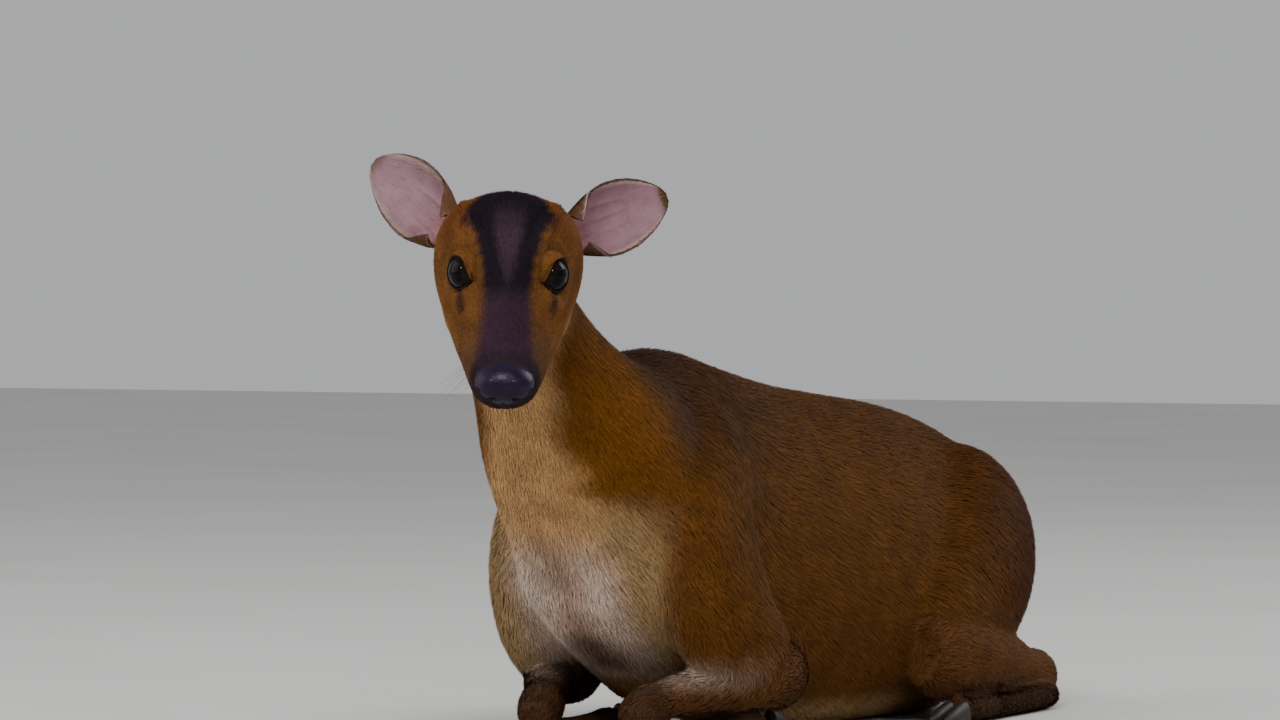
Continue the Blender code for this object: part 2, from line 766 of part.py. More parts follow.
def build():
    clear_scene()
    nodes = {}
    body, head = build_soft_body()

    neck_low, neck_high = Vector((0, -0.272, 0.138)), Vector((0, -0.190, 0.250))
    run = neck_high - neck_low
    normal = Vector((0, -run.z, run.y)).normalized()
    neck = copy_of(body, "neck")
    cut_flat(neck, neck_low + normal * GAP / 2, normal)
    cut_flat(body, neck_low - normal * GAP / 2, -normal)
    body.name = "torso"
    torso = body

    legs = {}
    for side, word in ((1, "left"), (-1, "right")):
        fore = ellipsoid(
            "fore_region",
            (side * 0.084, -0.168, 0.100),
            (0.050, 0.052, 0.096),
            Matrix.Rotation(math.radians(14), 3, "X"),
            2,
        )
        hind = ellipsoid(
            "hind_region",
            (side * 0.094, 0.128, 0.094),
            (0.054, 0.102, 0.082),
            Matrix.Rotation(math.radians(24), 3, "X"),
            2,
        )
        legs[f"foreleg_{word}_upper"] = part_off(torso, fore, f"foreleg_{word}_upper")
        legs[f"hindleg_{word}_thigh"] = part_off(torso, hind, f"hindleg_{word}_thigh")
        legs[f"foreleg_{word}_forearm"] = limb_form(
            f"foreleg_{word}_forearm", FOREARM, 13, 12, side
        )
        legs[f"foreleg_{word}_cannon"] = limb_form(
            f"foreleg_{word}_cannon", FORE_CANNON, 13, 10, side
        )
        legs[f"hindleg_{word}_shank"] = limb_form(f"hindleg_{word}_shank", SHANK, 14, 12, side)
        legs[f"hindleg_{word}_cannon"] = limb_form(
            f"hindleg_{word}_cannon", HIND_CANNON, 14, 10, side
        )
        for place, lean in (("inner", -1), ("outer", 1)):
            step = side * lean * HOOF_WIDTH * 0.53
            fore_tip = (side * 0.0495 + step, -0.0785, 0.0018)
            hind_tip = (side * 0.1080 + step, 0.0175, 0.0002)
            legs[f"foreleg_{word}_hoof_{place}"] = hoof(
                f"foreleg_{word}_hoof_{place}", fore_tip, (0, 1, 0), (0, 0, -1), HOOF_WIDTH
            )
            legs[f"hindleg_{word}_hoof_{place}"] = hoof(
                f"hindleg_{word}_hoof_{place}", hind_tip, (0, -1, 0), (0, 0, -1), HOOF_WIDTH
            )
    tail = limb_form("tail", TAIL, 12, 12)
    nodes.update(legs)

    for side, word in ((1, "left"), (-1, "right")):
        upper, forearm = legs[f"foreleg_{word}_upper"], legs[f"foreleg_{word}_forearm"]
        fore_cannon = legs[f"foreleg_{word}_cannon"]
        thigh, shank = legs[f"hindleg_{word}_thigh"], legs[f"hindleg_{word}_shank"]
        hind_cannon = legs[f"hindleg_{word}_cannon"]
        fore_hooves = [legs[f"foreleg_{word}_hoof_{p}"] for p in ("inner", "outer")]
        hind_hooves = [legs[f"hindleg_{word}_hoof_{p}"] for p in ("inner", "outer")]
        carve(fore_cannon, *fore_hooves)
        carve(hind_cannon, *hind_hooves)
        carve(forearm, fore_cannon, *fore_hooves)
        carve(shank, hind_cannon, *hind_hooves)
        carve(upper, forearm, fore_cannon, *fore_hooves)
        carve(thigh, shank, hind_cannon, *hind_hooves)
        carve(torso, forearm, fore_cannon, shank, hind_cannon, *fore_hooves, *hind_hooves)
    carve(tail, torso)

    nose_pad = ellipsoid("nose_region", in_head(*NOSE_CENTRE), NOSE_RADII, HEAD.to_3x3(), 3)
    nose = part_off_pad(head, nose_pad)
    for side in (1, -1):
        hollow = nostril(side)
        combine(nose, hollow, "DIFFERENCE")
        remove(hollow)
        gland = tear_gland(side)
        combine(head, gland, "DIFFERENCE")
        socket = eye_socket(side)
        combine(head, socket, "DIFFERENCE")
        remove(gland, socket)
    lips = mouth_line()
    combine(head, lips, "DIFFERENCE")
    remove(lips)

    eye = eyes()
    ear_left = ear("ear_left", 1, EAR_LEFT_LEAN)
    ear_right = ear("ear_right", -1, EAR_RIGHT_LEAN)
    carve(ear_left, head, neck)
    carve(ear_right, head, neck)
    for side, lean in ((1, EAR_LEFT_LEAN), (-1, EAR_RIGHT_LEAN)):
        cup = ear_cup(side, lean)
        combine(head, cup, "DIFFERENCE")
        remove(cup)

    for obj in list(legs.values()) + [torso, neck, tail]:
        flatten_under(obj)

    finishes = {"coat": [torso, neck, head, tail], "ear_skin": [ear_left, ear_right]}
    finishes["eye"] = [eye["left"], eye["right"]]
    finishes["nose"] = [nose]
    finishes["hoof"] = [o for n, o in legs.items() if "hoof" in n]
    finishes["coat"] += [o for n, o in legs.items() if "hoof" not in n]
    for slot, objects in finishes.items():
        for obj in objects:
            finish(obj, slot)
    centre_on_base([o for objects in finishes.values() for o in objects])


build()
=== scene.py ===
"""The looks of a resting Reeves's muntjac doe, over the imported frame.

One skin with its lids, lips and folds takes the place of the flesh nodes and lies inside them by the
coat's depth. Solid tufts grow from it along the lie of the hair. Ears, eyes, nose pad and hooves are
pieces of their own. Body coordinates are those of the part before it was centred on the floor.
"""
import math

import bmesh
import bpy
import numpy as np
from mathutils import Matrix, Vector
from mathutils.bvhtree import BVHTree
from mathutils.kdtree import KDTree


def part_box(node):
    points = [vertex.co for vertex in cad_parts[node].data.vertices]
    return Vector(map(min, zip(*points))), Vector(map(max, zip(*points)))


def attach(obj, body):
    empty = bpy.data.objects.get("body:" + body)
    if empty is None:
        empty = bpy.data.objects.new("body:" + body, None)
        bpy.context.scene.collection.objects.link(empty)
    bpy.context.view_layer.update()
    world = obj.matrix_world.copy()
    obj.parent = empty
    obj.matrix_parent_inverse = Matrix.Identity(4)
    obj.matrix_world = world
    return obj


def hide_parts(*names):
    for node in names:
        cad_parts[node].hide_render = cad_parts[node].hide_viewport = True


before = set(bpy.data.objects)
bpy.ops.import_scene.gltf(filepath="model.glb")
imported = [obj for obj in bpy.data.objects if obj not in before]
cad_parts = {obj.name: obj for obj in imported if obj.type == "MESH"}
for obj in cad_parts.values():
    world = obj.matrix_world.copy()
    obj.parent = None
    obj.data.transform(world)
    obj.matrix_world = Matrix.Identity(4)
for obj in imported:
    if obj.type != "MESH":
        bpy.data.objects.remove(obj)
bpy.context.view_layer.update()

RANDOM = np.random.default_rng(8013)

FUSE_VOXEL = 0.0014  # cell in which the skin's forms are fused
FUSE_SMOOTHING = 24  # rounds of smoothing that turn their joins into flesh
TRUNK_SMOOTHING = 70  # further rounds where the forms are large
WITHERS = (0.0, -0.185, 0.245)
WITHERS_SMOOTHING = 160  # further rounds round the withers
SKIN_TRIANGLES = 125000
GUIDES = 8  # closest guides that a point of the skin takes its region and lie from

HEAD_BASE = Vector((-0.0150, -0.3060, 0.2840))
HEAD_YAW = math.radians(30)
HEAD_PITCH = math.radians(30)
HEAD_ROLL = math.radians(2)
HEAD_REACH = 0.07  # sideways, of what counts as the head

EYE_RADIUS = 0.0125
EYE_CENTRE = (0.0226, 0.0802, 0.0530)  # side, forward and up from the head's base
EYE_FACING = (0.77, 0.60, 0.18)
EYE_OPENING = (0.0107, 0.0095)  # half length and half height between the lids
LID_THICKNESS = 0.0020

GLAND_CENTRE = (0.0255, 0.1020, 0.0440)
NOSE_CENTRE = (0.0, 0.1630, 0.0278)
NOSE_RADII = (0.0172, 0.0132, 0.0130)
PAD_HOLLOW = 0.0075  # how far the skin is drawn back inside the pad
MOUTH_HEIGHT = 0.0125
MOUTH_CORNER = 0.1180

EAR_LENGTH = 0.086
EAR_ROOT = (0.0390, 0.0175, 0.0440)
EAR_LEFT_AXIS = (0.70, 0.28, 0.62)  # out, up and back
EAR_RIGHT_AXIS = (0.58, 0.52, 0.62)
EARS = ((1, EAR_LEFT_AXIS), (-1, EAR_RIGHT_AXIS))
EAR_CUP_RISE = 0.0095  # of the middle of the cup's hollow over the ear's root
EAR_CUP_RADII = (0.0128, 0.0128, 0.0135)

HOOF_LENGTH = 0.0270
HOOF_WIDTH = 0.0098
HOOF_HEIGHT = 0.0165

# Rows of the trunk, front to back: place along Y, then heights of belly, widest line and back, half
# width, and how square the section is above and below the widest line.
TRUNK = [
    (-0.266, 0.108, 0.130, 0.154, 0.026, 2.0, 2.0),
    (-0.254, 0.082, 0.122, 0.190, 0.044, 2.0, 2.0),
    (-0.230, 0.060, 0.116, 0.226, 0.054, 2.0, 2.0),
    (-0.195, 0.040, 0.109, 0.242, 0.062, 1.9, 2.0),
    (-0.150, 0.019, 0.102, 0.2435, 0.073, 1.8, 2.1),
    (-0.095, 0.005, 0.096, 0.2320, 0.080, 1.8, 2.2),
    (-0.030, -0.003, 0.092, 0.2195, 0.085, 1.9, 2.3),
    (0.040, -0.004, 0.088, 0.2115, 0.089, 2.0, 2.4),
    (0.110, -0.004, 0.088, 0.2040, 0.088, 2.0, 2.4),
    (0.165, -0.003, 0.092, 0.1920, 0.082, 2.0, 2.3),
    (0.210, 0.008, 0.097, 0.1720, 0.068, 2.0, 2.1),
    (0.245, 0.034, 0.100, 0.1430, 0.048, 2.0, 2.0),
    (0.262, 0.074, 0.098, 0.1160, 0.022, 2.0, 2.0),
]

# Rows of a limb-like form: centre x, y, z, half width, and half height above and below the centre.
NECK = [
    (0.000, -0.145, 0.120, 0.056, 0.112, 0.088),
    (0.000, -0.204, 0.149, 0.063, 0.090, 0.078),
    (-0.003, -0.250, 0.192, 0.058, 0.066, 0.062),
    (-0.010, -0.278, 0.234, 0.043, 0.042, 0.048),
    (-0.017, -0.302, 0.275, 0.0345, 0.032, 0.040),
    (-0.019, -0.324, 0.297, 0.0320, 0.029, 0.032),
    (-0.017, -0.338, 0.311, 0.0230, 0.020, 0.021),
]
SHOULDER = [
    (0.016, -0.132, 0.226, 0.009, 0.012, 0.012),
    (0.028, -0.146, 0.204, 0.0165, 0.026, 0.026),
    (0.044, -0.168, 0.167, 0.029, 0.041, 0.041),
    (0.053, -0.192, 0.122, 0.0325, 0.050, 0.050),
    (0.063, -0.180, 0.078, 0.029, 0.042, 0.042),
    (0.071, -0.146, 0.049, 0.021, 0.029, 0.029),
]
THIGH = [
    (0.030, 0.208, 0.140, 0.026, 0.038, 0.038),
    (0.050, 0.172, 0.118, 0.044, 0.066, 0.066),
    (0.066, 0.126, 0.092, 0.044, 0.066, 0.066),
    (0.080, 0.080, 0.070, 0.033, 0.048, 0.048),
    (0.087, 0.044, 0.054, 0.022, 0.030, 0.030),
]
FOREARM = [
    (0.074, -0.114, 0.040, 0.014, 0.016, 0.016),
    (0.073, -0.132, 0.041, 0.022, 0.024, 0.024),
    (0.066, -0.162, 0.038, 0.0195, 0.022, 0.020),
    (0.054, -0.194, 0.033, 0.0155, 0.0165, 0.015),
    (0.043, -0.216, 0.028, 0.0135, 0.0140, 0.012),
    (0.037, -0.230, 0.023, 0.0155, 0.0155, 0.0150),
    (0.034, -0.243, 0.0155, 0.0125, 0.0130, 0.0130),
]
FORE_CANNON = [
    (0.0345, -0.240, 0.0080, 0.0070, 0.0060, 0.0070),
    (0.0355, -0.222, 0.0078, 0.0084, 0.0075, 0.0085),
    (0.0390, -0.184, 0.0078, 0.0072, 0.0070, 0.0082),
    (0.0430, -0.151, 0.0080, 0.0086, 0.0078, 0.0086),
    (0.0442, -0.140, 0.0085, 0.0098, 0.0088, 0.0092),
    (0.0462, -0.122, 0.0082, 0.0082, 0.0074, 0.0086),
    (0.0478, -0.108, 0.0084, 0.0090, 0.0080, 0.0088),
]
SHANK = [
    (0.088, 0.030, 0.044, 0.018, 0.019, 0.019),
    (0.091, 0.048, 0.044, 0.026, 0.029, 0.029),
    (0.092, 0.090, 0.040, 0.025, 0.030, 0.028),
    (0.090, 0.140, 0.034, 0.018, 0.022, 0.019),
    (0.087, 0.180, 0.028, 0.0115, 0.0155, 0.0135),
    (0.085, 0.206, 0.023, 0.0118, 0.0165, 0.0150),
    (0.084, 0.222, 0.018, 0.0090, 0.0110, 0.0115),
]
HIND_CANNON = [
    (0.090, 0.213, 0.0095, 0.0085, 0.0080, 0.0090),
    (0.094, 0.190, 0.0095, 0.0108, 0.0100, 0.0104),
    (0.101, 0.150, 0.0090, 0.0088, 0.0085, 0.0096),
    (0.106, 0.105, 0.0088, 0.0088, 0.0084, 0.0094),
    (0.108, 0.083, 0.0092, 0.0108, 0.0098, 0.0098),
    (0.108, 0.062, 0.0088, 0.0088, 0.0082, 0.0094),
    (0.108, 0.047, 0.0090, 0.0098, 0.0086, 0.0096),
]
TAIL = [
    (0.000, 0.220, 0.150, 0.012, 0.010, 0.012),
    (0.001, 0.246, 0.141, 0.015, 0.011, 0.012),
    (0.004, 0.266, 0.118, 0.0185, 0.0105, 0.0120),
    (0.008, 0.274, 0.090, 0.0205, 0.0100, 0.0115),
    (0.012, 0.273, 0.060, 0.0165, 0.0080, 0.0095),
    (0.014, 0.266, 0.038, 0.0065, 0.0040, 0.0040),
]

# Rows of the head from the poll to the tip of the muzzle: distance forward, then heights of the jaw,
# widest line and brow, half width, and how square the section is above and below.
SKULL = [
    (-0.014, 0.006, 0.030, 0.044, 0.0220, 2.0, 2.0),
    (0.000, -0.003, 0.030, 0.054, 0.0370, 2.2, 2.0),
    (0.012, -0.009, 0.030, 0.0660, 0.0425, 2.3, 2.0),
    (0.027, -0.012, 0.030, 0.0765, 0.0450, 2.4, 2.0),
    (0.045, -0.013, 0.031, 0.0818, 0.0438, 2.35, 2.1),
    (0.062, -0.011, 0.031, 0.0810, 0.0404, 2.2, 2.2),
    (0.078, -0.008, 0.030, 0.0757, 0.0372, 2.0, 2.3),
    (0.091, -0.004, 0.028, 0.0688, 0.0346, 1.9, 2.4),
    (0.104, -0.001, 0.026, 0.0617, 0.0318, 1.8, 2.4),
    (0.118, 0.002, 0.025, 0.0548, 0.0286, 1.9, 2.5),
    (0.132, 0.0040, 0.0245, 0.0490, 0.0254, 2.0, 2.6),
    (0.146, 0.0065, 0.0245, 0.0450, 0.0226, 2.1, 2.6),
    (0.158, 0.0090, 0.0250, 0.0418, 0.0202, 2.2, 2.5),
    (0.1665, 0.0115, 0.0255, 0.0392, 0.0172, 2.3, 2.6),
    (0.1715, 0.0145, 0.0262, 0.0362, 0.0132, 2.2, 2.3),
    (0.1742, 0.0195, 0.0265, 0.0325, 0.0072, 2.0, 2.0),
]

# Rows of the ear: share of its length, radius of the curled blade, and half the angle it curls through.
EAR_BLADE = [
    (0.00, 0.0125, 150),
    (0.12, 0.0160, 122),
    (0.30, 0.0205, 88),
    (0.50, 0.0245, 66),
    (0.70, 0.0270, 49),
    (0.85, 0.0270, 35),
    (0.95, 0.0250, 22),
    (1.00, 0.0220, 7),
]

# The coat of each region: depth over the skin, length and width of a tuft, and tufts to a square
# millimetre.
COAT = {
    "trunk": (0.0042, 0.0132, 0.00074, 0.84),
    "neck": (0.0034, 0.0105, 0.00058, 1.44),
    "head": (0.0019, 0.0058, 0.00050, 2.95),
    "shoulder": (0.0038, 0.0120, 0.00072, 0.95),
    "thigh": (0.0042, 0.0130, 0.00078, 0.80),
    "forearm": (0.0024, 0.0082, 0.00074, 1.00),
    "fore_cannon": (0.0016, 0.0058, 0.00066, 1.15),
    "shank": (0.0028, 0.0090, 0.00080, 0.95),
    "hind_cannon": (0.0018, 0.0060, 0.00070, 1.10),
    "tail": (0.0050, 0.0220, 0.00095, 1.05),
}
REGIONS = list(COAT)

LASHES = 110  # over each eye
LIP_WHISKERS = 26  # a side
CHIN_WHISKERS = 8
LASH_WIDTH = 0.00028
WHISKER_WIDTH = 0.00026
PATCH = 0.003  # width of a tuft's patch on the unwrap
ROOT_DEPTH = 0.0004  # of a tuft's root under the skin
LOWEST_HAIR = 0.0004  # over the floor
LOWEST_SKIN = 0.0012
PIECE_TUFTS = 65000  # most tufts in one piece
STRAY = 10  # degrees off the lie, as a typical amount
TILT = 10  # degrees by which a tuft is rolled, as a typical amount
TONE_SPREAD = 0.08  # of one tuft's colour from another's
ROOT_TONE = 0.84
TIP_TONES = (0.70, 0.98, 1.20)
TIP_SHARES = (0.32, 0.38, 0.30)  # of the tufts that have each tone at the tip
QUICK_SHARE = 1.0  # of the tufts that are grown


# Small helpers


def smooth_step(low, high, value):
    t = np.clip((value - low) / (high - low), 0, 1)
    return t * t * (3 - 2 * t)


def lerp(a, b, t):
    t = np.asarray(t)[..., None]
    return np.asarray(a) * (1 - t) + np.asarray(b) * t


def unit(v):
    return v / np.maximum(np.linalg.norm(v, axis=-1, keepdims=True), 1e-12)


def dot(a, b):
    return (a * b).sum(-1)


def plain(colour, points):
    """The same colour at each of the points."""
    return np.tile(np.array(colour, float), (len(points), 1))


def smooth_rows(rows, count):
    """Cubic curves through the rows' numbers, read at count even steps."""
    rows = np.array(rows, float)
    padded = np.vstack([2 * rows[0] - rows[1], rows, 2 * rows[-1] - rows[-2]])
    found = []
    for place in np.linspace(0, len(rows) - 1 - 1e-9, count):
        i, t = int(place), place - int(place)
        a, b, c, d = padded[i : i + 4]
        bend = (2 * a - 5 * b + 4 * c - d) * t**2 + (3 * b - a - 3 * c + d) * t**3
        found.append(0.5 * (2 * b + (c - a) * t + bend))
    return np.array(found)


def bridged(rings):
    """Points and faces of a closed tube through equally divided rings."""
    sides = len(rings[0])
    points = [p for ring in rings for p in ring]
    faces = []
    for r in range(len(rings) - 1):
        for s in range(sides):
            a, b = r * sides + s, r * sides + (s + 1) % sides
            faces.append((a, b, b + sides, a + sides))
    last = (len(rings) - 1) * sides
    faces.append(tuple(range(sides)))
    faces.append(tuple(last + s for s in range(sides)))
    return points, faces


def add_object(name, points, faces):
    """A mesh object whose faces are made to point out."""
    mesh = bpy.data.meshes.new(name)
    mesh.from_pydata([tuple(p) for p in points], [], faces)
    shape = bmesh.new()
    shape.from_mesh(mesh)
    bmesh.ops.recalc_face_normals(shape, faces=shape.faces)
    shape.to_mesh(mesh)
    shape.free()
    obj = bpy.data.objects.new(name, mesh)
    bpy.context.scene.collection.objects.link(obj)
    return obj


def bake_modifiers(obj):
    """Replaces the object's mesh by what its modifiers make of it."""
    graph = bpy.context.evaluated_depsgraph_get()
    mesh = bpy.data.meshes.new_from_object(obj.evaluated_get(graph))
    obj.modifiers.clear()
    obj.data = mesh
    return obj


def section(angle, half_width, above, below, square_above=2.0, square_below=2.0):
    """Sideways and upward distance of a point on a rounded section, at this angle round it."""
    c, s = math.cos(angle), math.sin(angle)
    square = square_above if s > 0 else square_below
    reach = above if s > 0 else below
    across = half_width * math.copysign(abs(c) ** (2 / square), c)
    up = reach * math.copysign(abs(s) ** (2 / square), s)
    return across, up


def points_of(mesh):
    flat = np.empty(len(mesh.vertices) * 3, np.float32)
    mesh.vertices.foreach_get("co", flat)
    return flat.reshape(-1, 3).astype(float)


def triangles_of(mesh):
    mesh.calc_loop_triangles()
    flat = np.empty(len(mesh.loop_triangles) * 3, np.int32)
    mesh.loop_triangles.foreach_get("vertices", flat)
    return flat.reshape(-1, 3)


def point_normals(points, triangles):
    a, b, c = points[triangles[:, 0]], points[triangles[:, 1]], points[triangles[:, 2]]
    area = np.cross(b - a, c - a)
    total = np.zeros_like(points)
    for k in range(3):
        np.add.at(total, triangles[:, k], area)
    return unit(total)


def mesh_object(name, points, faces, material, colours, uv=None):
    """A new piece from arrays, moved from body coordinates to the frame's, riding on the animal."""
    points = np.asarray(points, float) + SHIFT
    faces = np.asarray(faces, np.int32)
    sides = faces.shape[1]
    mesh = bpy.data.meshes.new(name)
    mesh.vertices.add(len(points))
    mesh.vertices.foreach_set("co", points.astype(np.float32).ravel())
    mesh.loops.add(faces.size)
    mesh.loops.foreach_set("vertex_index", faces.ravel())
    mesh.polygons.add(len(faces))
    mesh.polygons.foreach_set("loop_start", np.arange(0, faces.size, sides, dtype=np.int32))
    mesh.update(calc_edges=True)
    mesh.shade_smooth()
    layer = mesh.color_attributes.new("coat_colour", "FLOAT_COLOR", "POINT")
    rgba = np.ones((len(points), 4), np.float32)
    rgba[:, :3] = colours
    layer.data.foreach_set("color", rgba.ravel())
    if uv is not None:
        layer = mesh.uv_layers.new(name="OFBake")
        layer.data.foreach_set("uv", np.asarray(uv, np.float32)[faces.ravel()].ravel())
    mesh.validate()
    mesh.materials.append(material)
    obj = bpy.data.objects.new(name, mesh)
    bpy.context.scene.collection.objects.link(obj)
    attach(obj, "root")
    return obj


# The head's own directions


def head_matrix():
    """From the head's own side, forward and up to body coordinates."""
    facing = Vector((math.sin(HEAD_YAW), -math.cos(HEAD_YAW), 0))
    forward = facing * math.cos(HEAD_PITCH) - Vector((0, 0, 1)) * math.sin(HEAD_PITCH)
    left = Vector((math.cos(HEAD_YAW), math.sin(HEAD_YAW), 0))
    up = left.cross(forward) * -1
    turn = Matrix((left, forward, up)).transposed()
    roll = Matrix.Rotation(HEAD_ROLL, 3, "Y")
    return Matrix.Translation(HEAD_BASE) @ (turn @ roll).to_4x4()


HEAD = head_matrix()
HEAD_TURN = np.array(HEAD.to_3x3())


def in_head(side, forward, up):
    return HEAD @ Vector((side, forward, up))


def in_body(side, along, up):
    return Vector((side, along, up))


def to_head(points):
    """Points in body coordinates, given in the head's side, forward and up."""
    return (points - np.array(HEAD.translation)) @ np.linalg.inv(HEAD_TURN).T


def from_head(points):
    return points @ HEAD_TURN.T + np.array(HEAD.translation)


def mirrored(place, side):
    """A place of the head's left side (1), or the same on its right side (-1)."""
    return (side * place[0], place[1], place[2])


def on_head(points, forward, up):
    """Which points are the head's, past these places forward and up from its base."""
    local = to_head(points)
    return (np.abs(local[:, 0]) < HEAD_REACH) & (local[:, 1] > forward) & (local[:, 2] > up)


def turn_in_head(facing):
    """A 3x3 turn whose Z axis points along facing, given in the head's own directions."""
    z = (HEAD.to_3x3() @ Vector(facing)).normalized()
    y = HEAD.to_3x3() @ Vector((0, 0, 1))
    y = (y - z * y.dot(z)).normalized()
    return Matrix((y.cross(z), y, z)).transposed()


def pad_share(points):
    """1 on the surface of the nose pad's ball, less inside it, more outside."""
    return np.linalg.norm((to_head(points) - np.array(NOSE_CENTRE)) / np.array(NOSE_RADII), axis=1)


def frame_shift():
    """How far the part was moved when it was centred: from where its left eye lies now."""
    low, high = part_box("eye_left")
    return np.array((low + high) / 2 - in_head(*EYE_CENTRE))


SHIFT = frame_shift()


# The skin's forms


def upright_form(name, rows, samples, sides, place):
    """A closed form whose sections stand across its length. place turns side, along and up into space."""
    rings = []
    for along, low, wide, high, half, square_above, square_below in smooth_rows(rows, samples):
        ring = []
        for k in range(sides):
            angle = 2 * math.pi * k / sides
            across, up = section(angle, half, high - wide, wide - low, square_above, square_below)
            ring.append(place(across, along, wide + up))
        rings.append(ring)
    return add_object(name, *bridged(rings)), rings


def limb_form(name, rows, samples, sides, mirror=1):
    """A closed form round a bent centreline. mirror is -1 for the animal's right side."""
    rows = smooth_rows(rows, samples)
    rows[:, 0] *= mirror
    centres = rows[:, :3]
    tangents = np.gradient(centres, axis=0)
    rings = []
    before = Vector((0, 0.3, 1))
    for row, centre, tangent in zip(rows, centres, tangents):
        along = Vector(tangent).normalized()
        side = (Vector((1, 0, 0)) - along * along.x).normalized()
        up = side.cross(along)
        if up.dot(before) < 0:
            up.negate()
        before = up
        ring = []
        for k in range(sides):
            across, height = section(2 * math.pi * k / sides, row[3], row[4], row[5])
            ring.append(Vector(centre) + side * across + up * height)
        rings.append(ring)
    return add_object(name, *bridged(rings)), rings


def bar_in_head(name, rows):
    """A rounded bar given in the head's own directions."""
    flipped = [(x, -y, z, w, a, b) for x, y, z, w, a, b in rows]
    obj = limb_form(name, flipped, 14, 16)[0]
    obj.data.transform(HEAD @ Matrix.Diagonal((1, -1, 1, 1)))
    return obj


def ellipsoid(name, centre, radii, turn):
    """A stretched ball. turn is a 3x3 matrix applied after the stretch."""
    shape = bmesh.new()
    bmesh.ops.create_icosphere(shape, subdivisions=4, radius=1)
    matrix = Matrix.Translation(Vector(centre)) @ turn.to_4x4() @ Matrix.Diagonal((*radii, 1))
    shape.transform(matrix)
    bmesh.ops.recalc_face_normals(shape, faces=shape.faces)
    mesh = bpy.data.meshes.new(name)
    shape.to_mesh(mesh)
    shape.free()
    obj = bpy.data.objects.new(name, mesh)
    bpy.context.scene.collection.objects.link(obj)
    return obj


def head_extras():
    """Cheeks, lids, ear roots, brow ridges and lips."""
    forms = []
    for side in (1, -1):
        ball = EYE_RADIUS + LID_THICKNESS
        lids = (ball * 1.04, ball, ball * 0.97)
        facing = turn_in_head(mirrored(EYE_FACING, side))
        forms.append(ellipsoid("lids", in_head(*mirrored(EYE_CENTRE, side)), lids, facing))
        cheek = in_head(side * 0.0240, 0.050, 0.016)
        forms.append(ellipsoid("cheek", cheek, (0.0150, 0.034, 0.024), HEAD.to_3x3()))
        root = in_head(side * 0.0303, 0.0142, 0.0396)
        forms.append(ellipsoid("ear_root", root, (0.0112, 0.0132, 0.0140), HEAD.to_3x3()))
        ridge = [
            (side * 0.0150, 0.0900, 0.0620, 0.0040, 0.0035, 0.0040),
            (side * 0.0205, 0.0680, 0.0725, 0.0055, 0.0045, 0.0050),
            (side * 0.0260, 0.0430, 0.0735, 0.0055, 0.0045, 0.0050),
            (side * 0.0290, 0.0240, 0.0660, 0.0040, 0.0035, 0.0040),
        ]
        forms.append(bar_in_head("brow_ridge", ridge))
        lip = [
            (side * 0.0145, 0.1340, 0.0175, 0.0065, 0.0070, 0.0055),
            (side * 0.0128, 0.1500, 0.0185, 0.0068, 0.0070, 0.0055),
            (side * 0.0060, 0.1645, 0.0195, 0.0060, 0.0065, 0.0055),
        ]
        forms.append(bar_in_head("lip", lip))
    return forms


def lie_of(region, along):
    """Direction of the hair on a region, from the direction along its rows."""
    if region == "trunk":
        return unit(np.array([0.0, 1.0, -0.62]))
    if region == "neck":
        return unit(-along + np.array([0.0, 0.0, -0.35]))
    if region == "head":
        return unit(-along + np.array([0.0, 0.0, -0.12]))
    if region == "shoulder":
        return unit(along + np.array([0.0, 0.55, -0.4]))
    if region == "thigh":
        return unit(np.array([0.0, 0.62, -0.78]))
    return along


def all_forms():
    """Every closed form of the skin, with guides: points that know their region and the hair's lie."""
    guides = []
    forms = []

    def keep(region, made):
        obj, rings = made
        forms.append(obj)
        rings = np.array([[tuple(p) for p in ring] for ring in rings])
        along = unit(np.gradient(rings.mean(axis=1), axis=0))
        for ring, direction in zip(rings, along):
            lie = lie_of(region, direction)
            guides.extend((p, REGIONS.index(region), lie) for p in ring[::2])

    keep("trunk", upright_form("trunk", TRUNK, 60, 48, in_body))
    keep("neck", limb_form("neck", NECK, 30, 40))
    keep("head", upright_form("head", SKULL, 56, 48, in_head))
    for side in (1, -1):
        for region, rows, samples, sides in (
            ("shoulder", SHOULDER, 24, 28),
            ("thigh", THIGH, 26, 30),
            ("forearm", FOREARM, 26, 24),
            ("fore_cannon", FORE_CANNON, 26, 20),
            ("shank", SHANK, 28, 24),
            ("hind_cannon", HIND_CANNON, 28, 20),
        ):
            keep(region, limb_form(region, rows, samples, sides, side))
    keep("tail", limb_form("tail", TAIL, 24, 22))
    forms.extend(head_extras())
    return forms, guides


